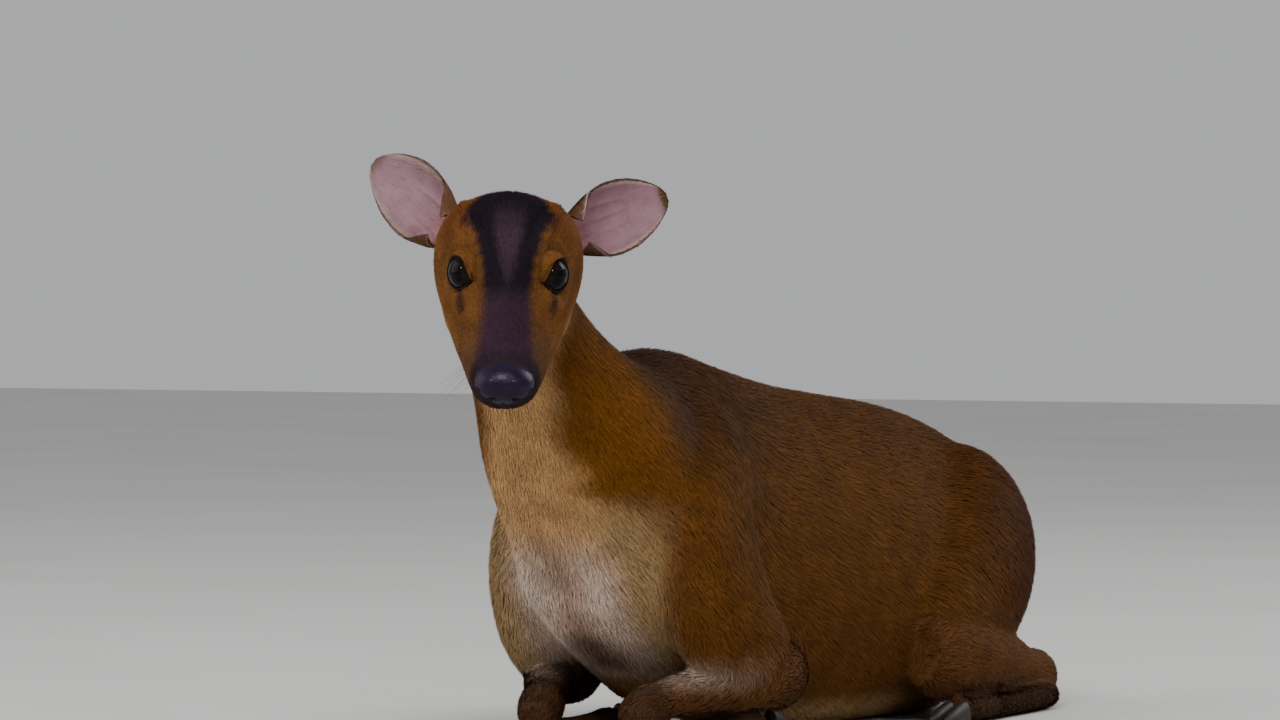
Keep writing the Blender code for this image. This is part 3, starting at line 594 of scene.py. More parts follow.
def fuse(forms):
    """Joins the closed forms into one skin on a fine grid, smooths it, and thins it off the head."""
    shape = bmesh.new()
    for form in forms:
        shape.from_mesh(form.data)
    mesh = bpy.data.meshes.new("fused")
    shape.to_mesh(mesh)
    shape.free()
    for form in forms:
        bpy.data.objects.remove(form)
    obj = bpy.data.objects.new("fused", mesh)
    bpy.context.scene.collection.objects.link(obj)
    remesh = obj.modifiers.new("fuse", "REMESH")
    remesh.mode = "VOXEL"
    remesh.voxel_size = FUSE_VOXEL
    soften = obj.modifiers.new("soften", "SMOOTH")
    soften.factor = 0.6
    soften.iterations = FUSE_SMOOTHING
    bake_modifiers(obj)
    points = points_of(obj.data)
    is_head = on_head(points, -0.01, -0.035)
    group = obj.vertex_groups.new(name="thin")
    group.add([int(i) for i in np.flatnonzero(is_head)], 0.0, "REPLACE")
    group.add([int(i) for i in np.flatnonzero(~is_head)], 1.0, "REPLACE")
    large = smooth_step(0.056, 0.084, points[:, 2]) * ~is_head
    large = large * smooth_step(0.236, 0.214, points[:, 1]) * smooth_step(-0.316, -0.292, points[:, 1])
    withers = smooth_step(0.065, 0.030, np.linalg.norm(points - np.array(WITHERS), axis=1))
    for name, weight, rounds in (
        ("large", large, TRUNK_SMOOTHING),
        ("withers", withers, WITHERS_SMOOTHING),
    ):
        group = obj.vertex_groups.new(name=name)
        for level in (0.2, 0.4, 0.6, 0.8, 1.0):
            group.add([int(i) for i in np.flatnonzero(weight > level - 0.2)], level, "REPLACE")
        soften = obj.modifiers.new(name, "SMOOTH")
        soften.factor = 0.6
        soften.iterations = rounds
        soften.vertex_group = name
    thin = obj.modifiers.new("thin", "DECIMATE")
    thin.ratio = min(1.0, SKIN_TRIANGLES / len(triangles_of(obj.data)))
    thin.vertex_group = "thin"
    thin.use_collapse_triangulate = True
    return bake_modifiers(obj)


def refine(obj, rounds):
    """Halves the edges close to each round's places, so that fine folds have points to stand on."""
    shape = bmesh.new()
    shape.from_mesh(obj.data)
    for places in rounds:
        shape.verts.index_update()
        points = np.array([tuple(vert.co) for vert in shape.verts])
        near = np.zeros(len(points), bool)
        for place, reach in places:
            near |= np.linalg.norm(points - np.array(place), axis=1) < reach
        chosen = [edge for edge in shape.edges if any(near[vert.index] for vert in edge.verts)]
        bmesh.ops.subdivide_edges(shape, edges=chosen, cuts=1, use_grid_fill=True)
        bmesh.ops.triangulate(shape, faces=shape.faces)
    shape.to_mesh(obj.data)
    shape.free()


def near_guides(points, guides):
    """Shares of each region, and the hair's lie, at each point, from the guides close to it."""
    tree = KDTree(len(guides))
    for i, guide in enumerate(guides):
        tree.insert(guide[0], i)
    tree.balance()
    regions = np.array([g[1] for g in guides])
    lies = np.array([g[2] for g in guides])
    index = np.zeros((len(points), GUIDES), int)
    far = np.zeros((len(points), GUIDES))
    for row, point in enumerate(points):
        for k, (_, i, distance) in enumerate(tree.find_n(point, GUIDES)):
            index[row, k] = i
            far[row, k] = distance
    weight = 1 / (far**2 + 0.004**2)
    weight /= weight.sum(axis=1, keepdims=True)
    share = np.zeros((len(points), len(REGIONS)))
    for k in range(GUIDES):
        np.add.at(share, (np.arange(len(points)), regions[index[:, k]]), weight[:, k])
    lie = (lies[index] * weight[..., None]).sum(axis=1)
    return share, unit(lie)


# The eyes' own places


def eye_frame(side):
    """Centre and turn of an eye. Its X axis runs along the opening, Y up, Z out."""
    centre = np.array(in_head(*mirrored(EYE_CENTRE, side)))
    turn = np.array(turn_in_head(mirrored(EYE_FACING, side)))
    turn[:, 0] *= -side
    return centre, turn


def eye_place(points, side):
    """Points given in an eye's own directions: X towards its front corner, Y up, Z out."""
    centre, turn = eye_frame(side)
    return (points - centre) @ turn


def opening_share(q):
    """1 on the edge of the opening between the lids, less inside it, more outside."""
    half_length, half_height = EYE_OPENING
    x = (q[..., 0] - 0.0004) / half_length
    taper = 1 - 0.14 * np.clip(np.abs(x), 0, 1.2) ** 2 - 0.16 * np.clip(x, 0, 1.2) ** 3
    y = (q[..., 1] + 0.0016 * x) / (half_height * taper)
    return np.sqrt(x**2 + y**2)


def shape_lids(points):
    """Lays the skin round each eye on the ball as two lids with thick rims and folds."""
    for side in (1, -1):
        centre, turn = eye_frame(side)
        q = (points - centre) @ turn
        radius = np.linalg.norm(q, axis=1)
        near = np.flatnonzero((radius < 2.3 * EYE_RADIUS) & (q[:, 2] > -0.2 * EYE_RADIUS))
        q, radius = q[near], radius[near]
        share = opening_share(q)
        upper = smooth_step(-0.001, 0.004, q[:, 1])
        lid = EYE_RADIUS + 0.0011 - 0.0003 * smooth_step(1.10, 1.4, share)
        lid += 0.0009 * np.exp(-(((share - 1.34) / 0.15) ** 2)) * upper
        lid -= 0.0011 * np.exp(-(((share - 1.66) / 0.09) ** 2)) * upper
        lid -= 0.0006 * np.exp(-(((share - 1.52) / 0.08) ** 2)) * (1 - upper)
        hollow = EYE_RADIUS - 0.0022
        wanted = hollow + (lid - hollow) * smooth_step(0.94, 1.03, share)
        weight = 1 - smooth_step(1.35, 2.05, share)
        moved = radius + (wanted - radius) * weight
        points[near] = centre + (q * (moved / radius)[:, None]) @ turn.T


def gap_to(points, path):
    """Distance of each point from a path."""
    closest = np.full(len(points), 1.0)
    for start, end in zip(path[:-1], path[1:]):
        run = end - start
        t = np.clip((points - start) @ run / max(run @ run, 1e-12), 0, 1)
        gap = np.linalg.norm(points - (start + t[:, None] * run), axis=1)
        closest = np.minimum(closest, gap)
    return closest


def groove(points, normals, path, depth, width):
    """Presses a soft line into the skin along a path of points."""
    low, high = path.min(axis=0) - 4 * width, path.max(axis=0) + 4 * width
    near = np.flatnonzero(np.all((points > low) & (points < high), axis=1))
    press = depth * np.exp(-((gap_to(points[near], path) / width) ** 2))
    points[near] -= normals[near] * press[:, None]


def mouth_path():
    """The line between the lips, from one corner round the muzzle to the other."""
    path = []
    for k in range(33):
        angle = math.pi * k / 32
        side = 0.0225 * math.cos(angle)
        forward = MOUTH_CORNER + 0.0545 * math.sin(angle) ** 0.7
        height = MOUTH_HEIGHT + 0.0012 + 0.0030 * math.cos(angle) ** 4
        path.append(in_head(side, forward, height))
    return np.array([tuple(p) for p in path])


def on_skin(tree, path):
    """The skin's own points closest to a path."""
    return np.array([tuple(tree.find_nearest(Vector(p))[0]) for p in path])


FOLDS = {}  # paths of the mouth line and the glands, where they lie on the skin


def gland_path(side):
    """The slit of the gland in front of an eye, from its upper end to its lower one."""
    s, f, u = GLAND_CENTRE
    path = []
    for t in np.linspace(-1, 1, 9):
        height = u - 0.0022 * t - 0.0012 * (1 - t * t)
        path.append(in_head(side * (s - 0.0014 * t), f + 0.0060 * t, height))
    return path


def shape_face(points, triangles):
    """Mouth line, grooves of the brow, glands before the eyes, room for the nose pad, and ear cups."""
    normals = point_normals(points, triangles)
    tree = BVHTree.FromPolygons([tuple(p) for p in points], triangles.tolist())
    FOLDS["mouth"] = on_skin(tree, mouth_path())
    for side in (1, -1):
        FOLDS[f"gland{side}"] = on_skin(tree, gland_path(side))
        brow = [
            in_head(side * (0.0175 - 0.0150 * t), 0.054 + 0.046 * t, 0.078 - 0.016 * t)
            for t in np.linspace(0, 1, 13)
        ]
        groove(points, normals, on_skin(tree, brow), 0.0008, 0.0020)
        groove(points, normals, FOLDS[f"gland{side}"], -0.0013, 0.0034)
        groove(points, normals, FOLDS[f"gland{side}"], 0.0042, 0.0012)
    groove(points, normals, FOLDS["mouth"], 0.0019, 0.0009)
    backward = -HEAD_TURN[:, 1]
    points += backward * (PAD_HOLLOW * smooth_step(0.97, 0.60, pad_share(points)))[:, None]
    for middle, turn, local in ear_cups(points):
        reach = np.linalg.norm(local, axis=1)
        inside = reach < 1
        local = local[inside] / reach[inside, None] * np.array(EAR_CUP_RADII)
        points[inside] = middle + local @ turn.T


def ear_cups(points):
    """Middle and turn of each ear's cup, and the points in its own directions, in shares of its radii."""
    for side, lean in EARS:
        root, axis, opening, across = ear_directions(side, *lean)
        turn = np.stack([across, opening, axis], axis=1)
        middle = root + axis * EAR_CUP_RISE
        yield middle, turn, (points - middle) @ turn / np.array(EAR_CUP_RADII)


def ear_cup_depth(points):
    """Which points lie in or close to an ear's cup, and how deep in it, up to 1 at its bottom."""
    found = np.zeros(len(points), bool)
    deep = np.zeros(len(points))
    for _, _, local in ear_cups(points):
        inside = np.linalg.norm(local, axis=1) < 1.06
        found |= inside
        # This depth sets how much painted shade the cup's skin gets.
        deep[inside] = smooth_step(-0.35, -0.95, local[inside, 2])
    return found, deep


def build_skin():
    """Points, triangles, region shares, lie and depth of coat of the finished skin."""
    forms, guides = all_forms()
    obj = fuse(forms)
    places = [(eye_frame(side)[0], 0.018) for side in (1, -1)]
    places += [(in_head(*mirrored(GLAND_CENTRE, side)), 0.011) for side in (1, -1)]
    places += [(place, 0.005) for place in mouth_path()[::2]]
    refine(obj, (places + [(in_head(*NOSE_CENTRE), 0.022)], places))
    points, triangles = points_of(obj.data), triangles_of(obj.data)
    bpy.data.objects.remove(obj)
    share, lie = near_guides(points, guides)
    depth = share @ np.array([COAT[r][0] for r in REGIONS])
    depth = thinner_on_face(points, depth)
    for _ in range(3):
        points = points - point_normals(points, triangles) * (depth / 3)[:, None]
    shape_lids(points)
    shape_face(points, triangles)
    points[:, 2] = np.maximum(points[:, 2], LOWEST_SKIN)
    return points, triangles, share, lie, depth


def thinner_on_face(points, depth):
    """The coat's depth, less on the muzzle and round the eyes, and more on the crown."""
    s, f, u = to_head(points).T
    muzzle = smooth_step(0.08, 0.14, f) * on_head(points, 0.02, -0.03)
    crown = smooth_step(0.052, 0.066, u) * smooth_step(0.074, 0.050, f) * (np.abs(s) < 0.05) * (f > -0.02)
    depth = depth * (1 - 0.45 * muzzle) * (1 + 0.85 * crown)
    for side in (1, -1):
        gap = np.linalg.norm(eye_place(points, side), axis=1)
        depth = depth * (0.45 + 0.55 * smooth_step(0.015, 0.028, gap))
    return depth


# Markings, shared by skin and tufts


FLANK = (0.106, 0.041, 0.006)
BACK = (0.072, 0.030, 0.009)
# The rump's own redder tone, darkened by painted shade.
RUMP_TONE_AND_SHADE = (0.054, 0.015, 0.003)
BELLY = (0.42, 0.27, 0.13)
CHEST = (0.56, 0.45, 0.39)
CHEST_EDGE = (0.290, 0.190, 0.090)
# Painted shade: the darker groove down the middle of the chest, and the hollow between the forelegs.
CHEST_GROOVE_SHADE = (0.270, 0.140, 0.085)
CHEST_HOLLOW_SHADE = (0.070, 0.032, 0.021)
THROAT = (0.52, 0.310, 0.135)
NECK_SIDE = (0.155, 0.057, 0.005)
NAPE = (0.050, 0.024, 0.012)
FACE = (0.138, 0.053, 0.010)
CHEEK = (0.195, 0.082, 0.019)
BROW_ORANGE = (0.128, 0.042, 0.008)
EYE_RING = (0.122, 0.056, 0.014)
KITE_DARK = (0.009, 0.005, 0.010)
KITE_PALE = (0.043, 0.023, 0.039)
NOSE_BAND = (0.031, 0.014, 0.028)
MUZZLE_SIDE = (0.080, 0.038, 0.016)
CHIN = (0.60, 0.50, 0.40)
LIP_DARK = (0.022, 0.013, 0.014)
NOSE_RIM = (0.020, 0.011, 0.018)
GLAND_DARK = (0.018, 0.009, 0.008)
GLAND_BROWN = (0.050, 0.020, 0.009)
LID_DARK = (0.012, 0.007, 0.007)
EAR_BASE = (0.150, 0.045, 0.050)
LASH_DARK = (0.014, 0.008, 0.007)
WHISKER_BROWN = (0.050, 0.035, 0.030)
# Painted shade at the bottom of the ear cups.
EAR_CUP_SHADE = (0.035, 0.010, 0.010)
EAR_BACK = (0.085, 0.040, 0.016)
EAR_BACK_ROOT = (0.140, 0.058, 0.016)
EAR_BACK_RIM = (0.150, 0.078, 0.062)
EAR_INSIDE = (0.262, 0.150, 0.180)
EAR_INSIDE_ROOT = (0.10, 0.030, 0.030)
EAR_RED = (0.235, 0.058, 0.075)
EAR_PALE = (0.40, 0.29, 0.26)
EAR_RIM = (0.14, 0.085, 0.070)
EAR_HAIR = (0.48, 0.37, 0.34)
EYE_WHITE = (0.009, 0.006, 0.005)
IRIS = (0.0075, 0.0042, 0.0032)
PUPIL = (0.0015, 0.0015, 0.002)
NOSE = (0.010, 0.004, 0.019)
# Painted sheen: the nose's wings are lighter where light catches their bulge.
NOSE_WING_SHEEN = (0.022, 0.011, 0.038)
NOSTRIL = (0.003, 0.002, 0.003)
LEG = (0.110, 0.046, 0.014)
LEG_DARK = (0.048, 0.026, 0.016)
TAIL_TOP = (0.150, 0.050, 0.010)
TAIL_UNDER = (0.66, 0.58, 0.48)


def wander(points, scale):
    """A number between -1 and 1 that changes slowly from place to place."""
    x, y, z = points.T * scale
    wave = np.sin(x * 1.3 + y * 0.7) + np.sin(y * 1.1 - z * 0.9)
    return (wave + np.sin(z * 1.7 + x * 0.6) + np.sin((x - y + z) * 0.8)) / 4


def kite_colours(points, colour):
    """Lays the dark kite of the forehead, its pale wedge and the band down the nose over colour."""
    s, f, u = to_head(points).T
    a = np.abs(s)
    half = np.interp(
        f,
        [0.014, 0.030, 0.045, 0.058, 0.075, 0.091, 0.100, 0.109, 0.123, 0.139, 0.152, 0.170],
        [0.004, 0.0140, 0.0215, 0.0252, 0.0196, 0.0164, 0.0138, 0.0118, 0.0126, 0.0136, 0.0150, 0.0160],
    )
    wave = 0.0005 * np.sin(f * 900 + s * 200) + 0.0004 * np.sin(f * 2300 - s * 500)
    top = np.interp(f, [0.01, 0.03, 0.06, 0.09, 0.12, 0.17], [0.038, 0.050, 0.056, 0.046, 0.034, 0.026])
    soft = np.interp(f, [0.05, 0.09, 0.11, 0.14], [0.0022, 0.0028, 0.0046, 0.0052])
    kite = smooth_step(1.0, -0.7, (a - half + wave) / soft) * smooth_step(-0.004, 0.004, u - top)
    dark = lerp(KITE_DARK, NOSE_BAND, smooth_step(0.104, 0.122, f))
    wedge = np.interp(f, [0.050, 0.075, 0.091, 0.108], [0.0092, 0.0078, 0.0046, 0.0004])
    wedge = smooth_step(0.0032, -0.0032, a - wedge + wave) * smooth_step(0.046, 0.082, f)
    wedge = wedge * smooth_step(0.112, 0.102, f)
    return lerp(colour, lerp(dark, KITE_PALE, wedge), kite)


def head_colours(points):
    """Colours of the head: kite, nose band, orange brow corners, rings, glands, cheeks and chin, and
    painted shade in the ear cups.
    """
    s, f, u = to_head(points).T
    a = np.abs(s)
    colour = lerp(FACE, CHEEK, smooth_step(0.036, 0.018, u))
    colour = lerp(colour, THROAT, smooth_step(0.022, -0.004, u) * smooth_step(-0.01, 0.02, f))
    colour = lerp(colour, MUZZLE_SIDE, 0.85 * smooth_step(0.100, 0.148, f))
    corner = smooth_step(0.078, 0.050, f) * smooth_step(0.050, 0.064, u)
    colour = lerp(colour, BROW_ORANGE, corner)
    colour = colour * (1 + 0.20 * wander(points, 190))[:, None]
    for side in (1, -1):
        q = eye_place(points, side)
        outside = opening_share(q)
        ring = smooth_step(1.15, 1.32, outside) * smooth_step(2.4, 1.5, outside)
        ring = ring * smooth_step(-0.006, 0.004, q[:, 2])
        colour = lerp(colour, EYE_RING, 0.55 * ring)
    before_eye = np.exp(-(((a - 0.0195) / 0.0050) ** 2 + ((f - 0.096) / 0.016) ** 2))
    colour = lerp(colour, EYE_RING, 0.45 * before_eye * (u > 0.03))
    colour = kite_colours(points, colour)
    chin = smooth_step(0.0150, 0.0115, u) * smooth_step(0.110, 0.135, f)
    colour = lerp(colour, CHIN, chin)
    for side in (1, -1):
        gap = gap_to(points, FOLDS[f"gland{side}"])
        colour = lerp(colour, GLAND_BROWN, 0.85 * smooth_step(0.0052, 0.0016, gap))
        colour = lerp(colour, GLAND_DARK, 0.9 * smooth_step(0.0018, 0.0010, gap))
        q = eye_place(points, side)
        outside = opening_share(q)
        colour = lerp(colour, LID_DARK, smooth_step(1.15, 1.06, outside) * (q[:, 2] > 0))
        corner = np.linalg.norm(q - np.array([0.0126, -0.0016, 0.0066]), axis=1)
        colour = lerp(colour, LID_DARK, smooth_step(0.0036, 0.0018, corner))
        corner = np.linalg.norm(q - np.array([-0.0118, 0.0058, 0.0060]), axis=1)
        colour = lerp(colour, LID_DARK, 0.9 * smooth_step(0.0040, 0.0014, corner))
    colour = lerp(colour, LIP_DARK, smooth_step(0.0024, 0.0010, gap_to(points, FOLDS["mouth"])))
    colour = lerp(colour, NOSE_RIM, 0.9 * smooth_step(1.36, 1.10, pad_share(points)))
    root = np.linalg.norm(np.stack([a - 0.040, f - 0.018, u - 0.044], axis=1), axis=1)
    colour = lerp(colour, EAR_BASE, 0.5 * smooth_step(0.015, 0.009, root))
    # Painted shade: the ear cups darken towards their bottoms.
    in_cup, deep = ear_cup_depth(points)
    return lerp(colour, lerp(EAR_BASE, EAR_CUP_SHADE, deep), in_cup)


def neck_colours(points):
    """Colours of the neck: pale in front, golden at the sides, dark along the nape."""
    x, y, z = points.T
    rows = np.array(NECK)
    centre_x = np.interp(z, rows[:, 2], rows[:, 0])
    centre_y = np.interp(z, rows[:, 2], rows[:, 1])
    middle = np.interp(z, [0.150, 0.164, 0.183, 0.220, 0.290], [2, -14, -6, 2, 24])
    angle = np.degrees(np.arctan2(x - centre_x, -(y - centre_y)))
    off = np.abs((angle - middle + 180) % 360 - 180)
    off = off + 5 * np.sin(z * 70) + 3 * np.sin(z * 163 + x * 40)
    colour = plain(NECK_SIDE, points)
    edge = np.interp(z, [0.120, 0.150, 0.164, 0.183, 0.210, 0.280], [42, 40, 40, 40, 43, 44])
    colour = lerp(colour, THROAT, smooth_step(0, 26, edge - off))
    return lerp(colour, NAPE, smooth_step(98, 146, off))


def trunk_colours(points, normals):
    """Colours of the trunk: dark back and nape, golden flank, a redder rump darkened by painted shade, and
    pale belly.
    """
    _, y, z = points.T
    # Towards the rump the colour turns redder and darker; the darkening is painted shade.
    colour = lerp(FLANK, RUMP_TONE_AND_SHADE, 0.92 * smooth_step(0.04, 0.19, y))
    colour = lerp(colour, BACK, smooth_step(0.158, 0.212, z + 0.01 * np.sin(y * 31)) * 0.9)
    colour = lerp(colour, NAPE, smooth_step(0.205, 0.240, z) * smooth_step(-0.09, -0.16, y))
    under = smooth_step(0.030, 0.008, z) * smooth_step(-0.2, -0.7, normals[:, 2])
    colour = lerp(colour, BELLY, under)
    return colour


def shoulder_colours(points):
    return lerp(FLANK, BACK, 0.8 * smooth_step(0.175, 0.215, points[:, 2]))


def chest_colours(points, colour):
    """Lays the pale chest over colour: tan at its edges, with painted shade down its middle that darkens
    into the hollow low down.
    """
    x, y, z = points.T
    across = np.abs(x + 0.006) * np.where(x > -0.006, 1.15, 0.85)
    front = smooth_step(-0.160, -0.205, y) * smooth_step(0.166, 0.142, z) * smooth_step(0.040, 0.056, z)
    colour = lerp(colour, CHEST_EDGE, front * smooth_step(0.080, 0.050, across))
    pale = lerp(CHEST, THROAT, smooth_step(0.105, 0.148, z))
    colour = lerp(colour, pale, front * smooth_step(0.050, 0.024, across))
    # Painted shade down the middle of the chest, darkest in the hollow low down.
    width = np.interp(z, [0.055, 0.068, 0.082, 0.125], [0.032, 0.022, 0.012, 0.013])
    strength = np.interp(
        z,
        [0.040, 0.055, 0.070, 0.084, 0.096, 0.111, 0.126, 0.140],
        [0.00, 0.95, 0.95, 0.70, 0.50, 0.70, 0.35, 0.00],
    )
    streak = np.exp(-(((x + 0.002) / width) ** 2)) * strength * smooth_step(-0.15, -0.19, y)
    return lerp(colour, lerp(CHEST_GROOVE_SHADE, CHEST_HOLLOW_SHADE, smooth_step(0.092, 0.066, z)), streak)


def leg_colours(points, region):
    _, y, z = points.T
    colour = plain(LEG, points)
    if region == "forearm":
        colour = lerp(colour, CHEST, 0.75 * smooth_step(0.030, 0.050, z) * smooth_step(-0.15, -0.2, y))
        colour = lerp(colour, LEG_DARK, 0.7 * smooth_step(-0.205, -0.238, y))
    if region in ("fore_cannon", "hind_cannon"):
        colour = lerp(colour, LEG_DARK, 0.6)
    return colour


def tail_colours(points):
    rows = np.array(TAIL)
    line_y = np.interp(-points[:, 2], -rows[:, 2], rows[:, 1])
    under = smooth_step(0.001, -0.006, points[:, 1] - line_y)
    return lerp(TAIL_TOP, TAIL_UNDER, under)


def markings(points, normals, share):
    """The coat's colour at each point, from what its regions carry there."""
    total = np.zeros((len(points), 3))
    for k, region in enumerate(REGIONS):
        if region == "head":
            found = head_colours(points)
        elif region == "neck":
            found = neck_colours(points)
        elif region in ("trunk", "thigh"):
            found = trunk_colours(points, normals)
        elif region == "shoulder":
            found = shoulder_colours(points)
        elif region == "tail":
            found = tail_colours(points)
        else:
            found = leg_colours(points, region)
        total += found * share[:, k : k + 1]
    return chest_colours(points, total)


# Materials


def new_material(name, roughness, specular, coat=0.0, coat_roughness=0.03):
    made = bpy.data.materials.new(name)
    made.use_nodes = True
    shader = made.node_tree.nodes["Principled BSDF"]
    shader.inputs["Roughness"].default_value = roughness
    shader.inputs["Specular IOR Level"].default_value = specular
    shader.inputs["Coat Weight"].default_value = coat
    shader.inputs["Coat Roughness"].default_value = coat_roughness
    return made, made.node_tree, shader


def noise(tree, scale, detail=3.0, stretch=(1, 1, 1)):
    place = tree.nodes.new("ShaderNodeTexCoord")
    mapping = tree.nodes.new("ShaderNodeMapping")
    mapping.inputs["Scale"].default_value = stretch
    made = tree.nodes.new("ShaderNodeTexNoise")
    made.inputs["Scale"].default_value = scale
    made.inputs["Detail"].default_value = detail
    tree.links.new(place.outputs["Object"], mapping.inputs["Vector"])
    tree.links.new(mapping.outputs["Vector"], made.inputs["Vector"])
    return made.outputs["Fac"]


def ramp(tree, value, stops):
    made = tree.nodes.new("ShaderNodeValToRGB")
    made.color_ramp.elements[0].position = stops[0][0]
    made.color_ramp.elements[0].color = (*stops[0][1], 1)
    made.color_ramp.elements[1].position = stops[-1][0]
    made.color_ramp.elements[1].color = (*stops[-1][1], 1)
    for position, colour in stops[1:-1]:
        made.color_ramp.elements.new(position).color = (*colour, 1)
    tree.links.new(value, made.inputs["Fac"])
    return made.outputs["Color"]


def multiply(tree, a, b, amount=1.0):
    made = tree.nodes.new("ShaderNodeMix")
    made.data_type = "RGBA"
    made.blend_type = "MULTIPLY"
    made.inputs["Factor"].default_value = amount
    tree.links.new(a, made.inputs["A"])
    tree.links.new(b, made.inputs["B"])
    return made.outputs["Result"]


def painted(tree):
    """The colour that the piece's points carry."""
    made = tree.nodes.new("ShaderNodeAttribute")
    made.attribute_name = "coat_colour"
    return made.outputs["Color"]


def bump(tree, shader, height, strength, distance):
    made = tree.nodes.new("ShaderNodeBump")
    made.inputs["Strength"].default_value = strength
    made.inputs["Distance"].default_value = distance
    tree.links.new(height, made.inputs["Height"])
    tree.links.new(made.outputs["Normal"], shader.inputs["Normal"])


def hair_material():
    made, tree, shader = new_material("coat", 0.60, 0.06)
    patches = ramp(tree, noise(tree, 55, 4), [(0.30, (0.80, 0.78, 0.76)), (0.70, (1.12, 1.10, 1.08))])
    speck = ramp(tree, noise(tree, 900, 2), [(0.30, (0.70, 0.67, 0.64)), (0.72, (1.20, 1.17, 1.12))])
    colour = multiply(tree, multiply(tree, painted(tree), patches), speck)
    tree.links.new(colour, shader.inputs["Base Color"])
    return made


def skin_material():
    made, tree, shader = new_material("under_coat", 0.75, 0.06)
    speck = ramp(tree, noise(tree, 1400, 3), [(0.3, (0.76, 0.74, 0.71)), (0.75, (1.04, 1.01, 0.97))])
    tree.links.new(multiply(tree, painted(tree), speck), shader.inputs["Base Color"])
    bump(tree, shader, noise(tree, 1500, 4), 0.5, 0.0006)
    return made


def ear_material():
    made, tree, shader = new_material("ear_skin", 0.60, 0.20)
    veins = ramp(tree, noise(tree, 110, 4), [(0.35, (0.88, 0.82, 0.83)), (0.65, (1.04, 1.02, 1.02))])
    pores = ramp(tree, noise(tree, 1300, 2), [(0.3, (0.86, 0.84, 0.84)), (0.7, (1.05, 1.05, 1.05))])
    colour = multiply(tree, multiply(tree, painted(tree), veins), pores)
    tree.links.new(colour, shader.inputs["Base Color"])
    shader.inputs["Subsurface Weight"].default_value = 0.15
    shader.inputs["Subsurface Radius"].default_value = (0.004, 0.0015, 0.001)
    shader.inputs["Subsurface Scale"].default_value = 1.0
    bump(tree, shader, noise(tree, 700, 4), 0.35, 0.0005)
    return made


def nose_material():
    made, tree, shader = new_material("nose_leather", 0.30, 0.14, coat=0.07, coat_roughness=0.05)
    cells = tree.nodes.new("ShaderNodeTexVoronoi")
    cells.feature = "DISTANCE_TO_EDGE"
    cells.inputs["Scale"].default_value = 950
    place = tree.nodes.new("ShaderNodeTexCoord")
    tree.links.new(place.outputs["Object"], cells.inputs["Vector"])
    # Painted shade darkens the crevices between the pad's small cells.
    crevice_shade = ramp(tree, cells.outputs["Distance"], [(0.0, (0.35, 0.35, 0.38)), (0.25, (1.0, 1.0, 1.0))])
    cloud = ramp(tree, noise(tree, 240, 3), [(0.3, (0.8, 0.78, 0.85)), (0.7, (1.2, 1.15, 1.25))])
    colour = multiply(tree, multiply(tree, painted(tree), crevice_shade, 0.6), cloud)
    tree.links.new(colour, shader.inputs["Base Color"])
    rough = ramp(tree, cells.outputs["Distance"], [(0.0, (0.38,) * 3), (0.3, (0.17,) * 3)])
    tree.links.new(rough, shader.inputs["Roughness"])
    height = ramp(tree, cells.outputs["Distance"], [(0.0, (0, 0, 0)), (0.35, (1, 1, 1))])
    bump(tree, shader, height, 0.25, 0.0003)
    return made


def eye_material():
    made, tree, shader = new_material("eye", 0.025, 0.08)
    streaks = ramp(tree, noise(tree, 900, 4), [(0.3, (0.7, 0.7, 0.7)), (0.7, (1.3, 1.25, 1.2))])
    tree.links.new(multiply(tree, painted(tree), streaks), shader.inputs["Base Color"])
    return made


def hoof_material():
    made, tree, shader = new_material("horn", 0.45, 0.20)
    rings = noise(tree, 120, 4, (1, 9, 3))
    colour = ramp(tree, rings, [(0.3, (0.009, 0.007, 0.006)), (0.7, (0.036, 0.027, 0.022))])
    tree.links.new(colour, shader.inputs["Base Color"])
    bump(tree, shader, rings, 0.4, 0.0004)
    return made


# The coat


def root_places(points, triangles, weight):
    """Triangles and shares within them for roots, weight of them to a square millimetre."""
    a, b, c = points[triangles[:, 0]], points[triangles[:, 1]], points[triangles[:, 2]]
    area = 0.5 * np.linalg.norm(np.cross(b - a, c - a), axis=1)
    total = np.cumsum(area * weight)
    count = int(total[-1] * 1e6)
    picks = (np.arange(count) + RANDOM.random(count)) / count * total[-1]
    chosen = np.minimum(np.searchsorted(total, picks), len(triangles) - 1)
    u, v = RANDOM.random(count), RANDOM.random(count)
    flip = u + v > 1
    u[flip], v[flip] = 1 - u[flip], 1 - v[flip]
    return chosen, np.stack([1 - u - v, u, v], axis=1)


def mixed(values, triangles, chosen, shares):
    """Values at the roots, from those at the corners of their triangles."""
    corners = values[triangles[chosen]]
    if corners.ndim == 2:
        return (corners * shares).sum(axis=1)
    return (corners * shares[..., None]).sum(axis=1)


def along_skin(tree, points, before):
    """The skin's nearest points, and its outward directions there."""
    places = np.empty_like(points)
    normals = np.empty_like(points)
    for i, point in enumerate(points):
        place, normal, _, _ = tree.find_nearest(point)
        places[i] = place
        normals[i] = normal
    flipped = dot(normals, before) < 0
    normals[flipped] *= -1
    return places, normals


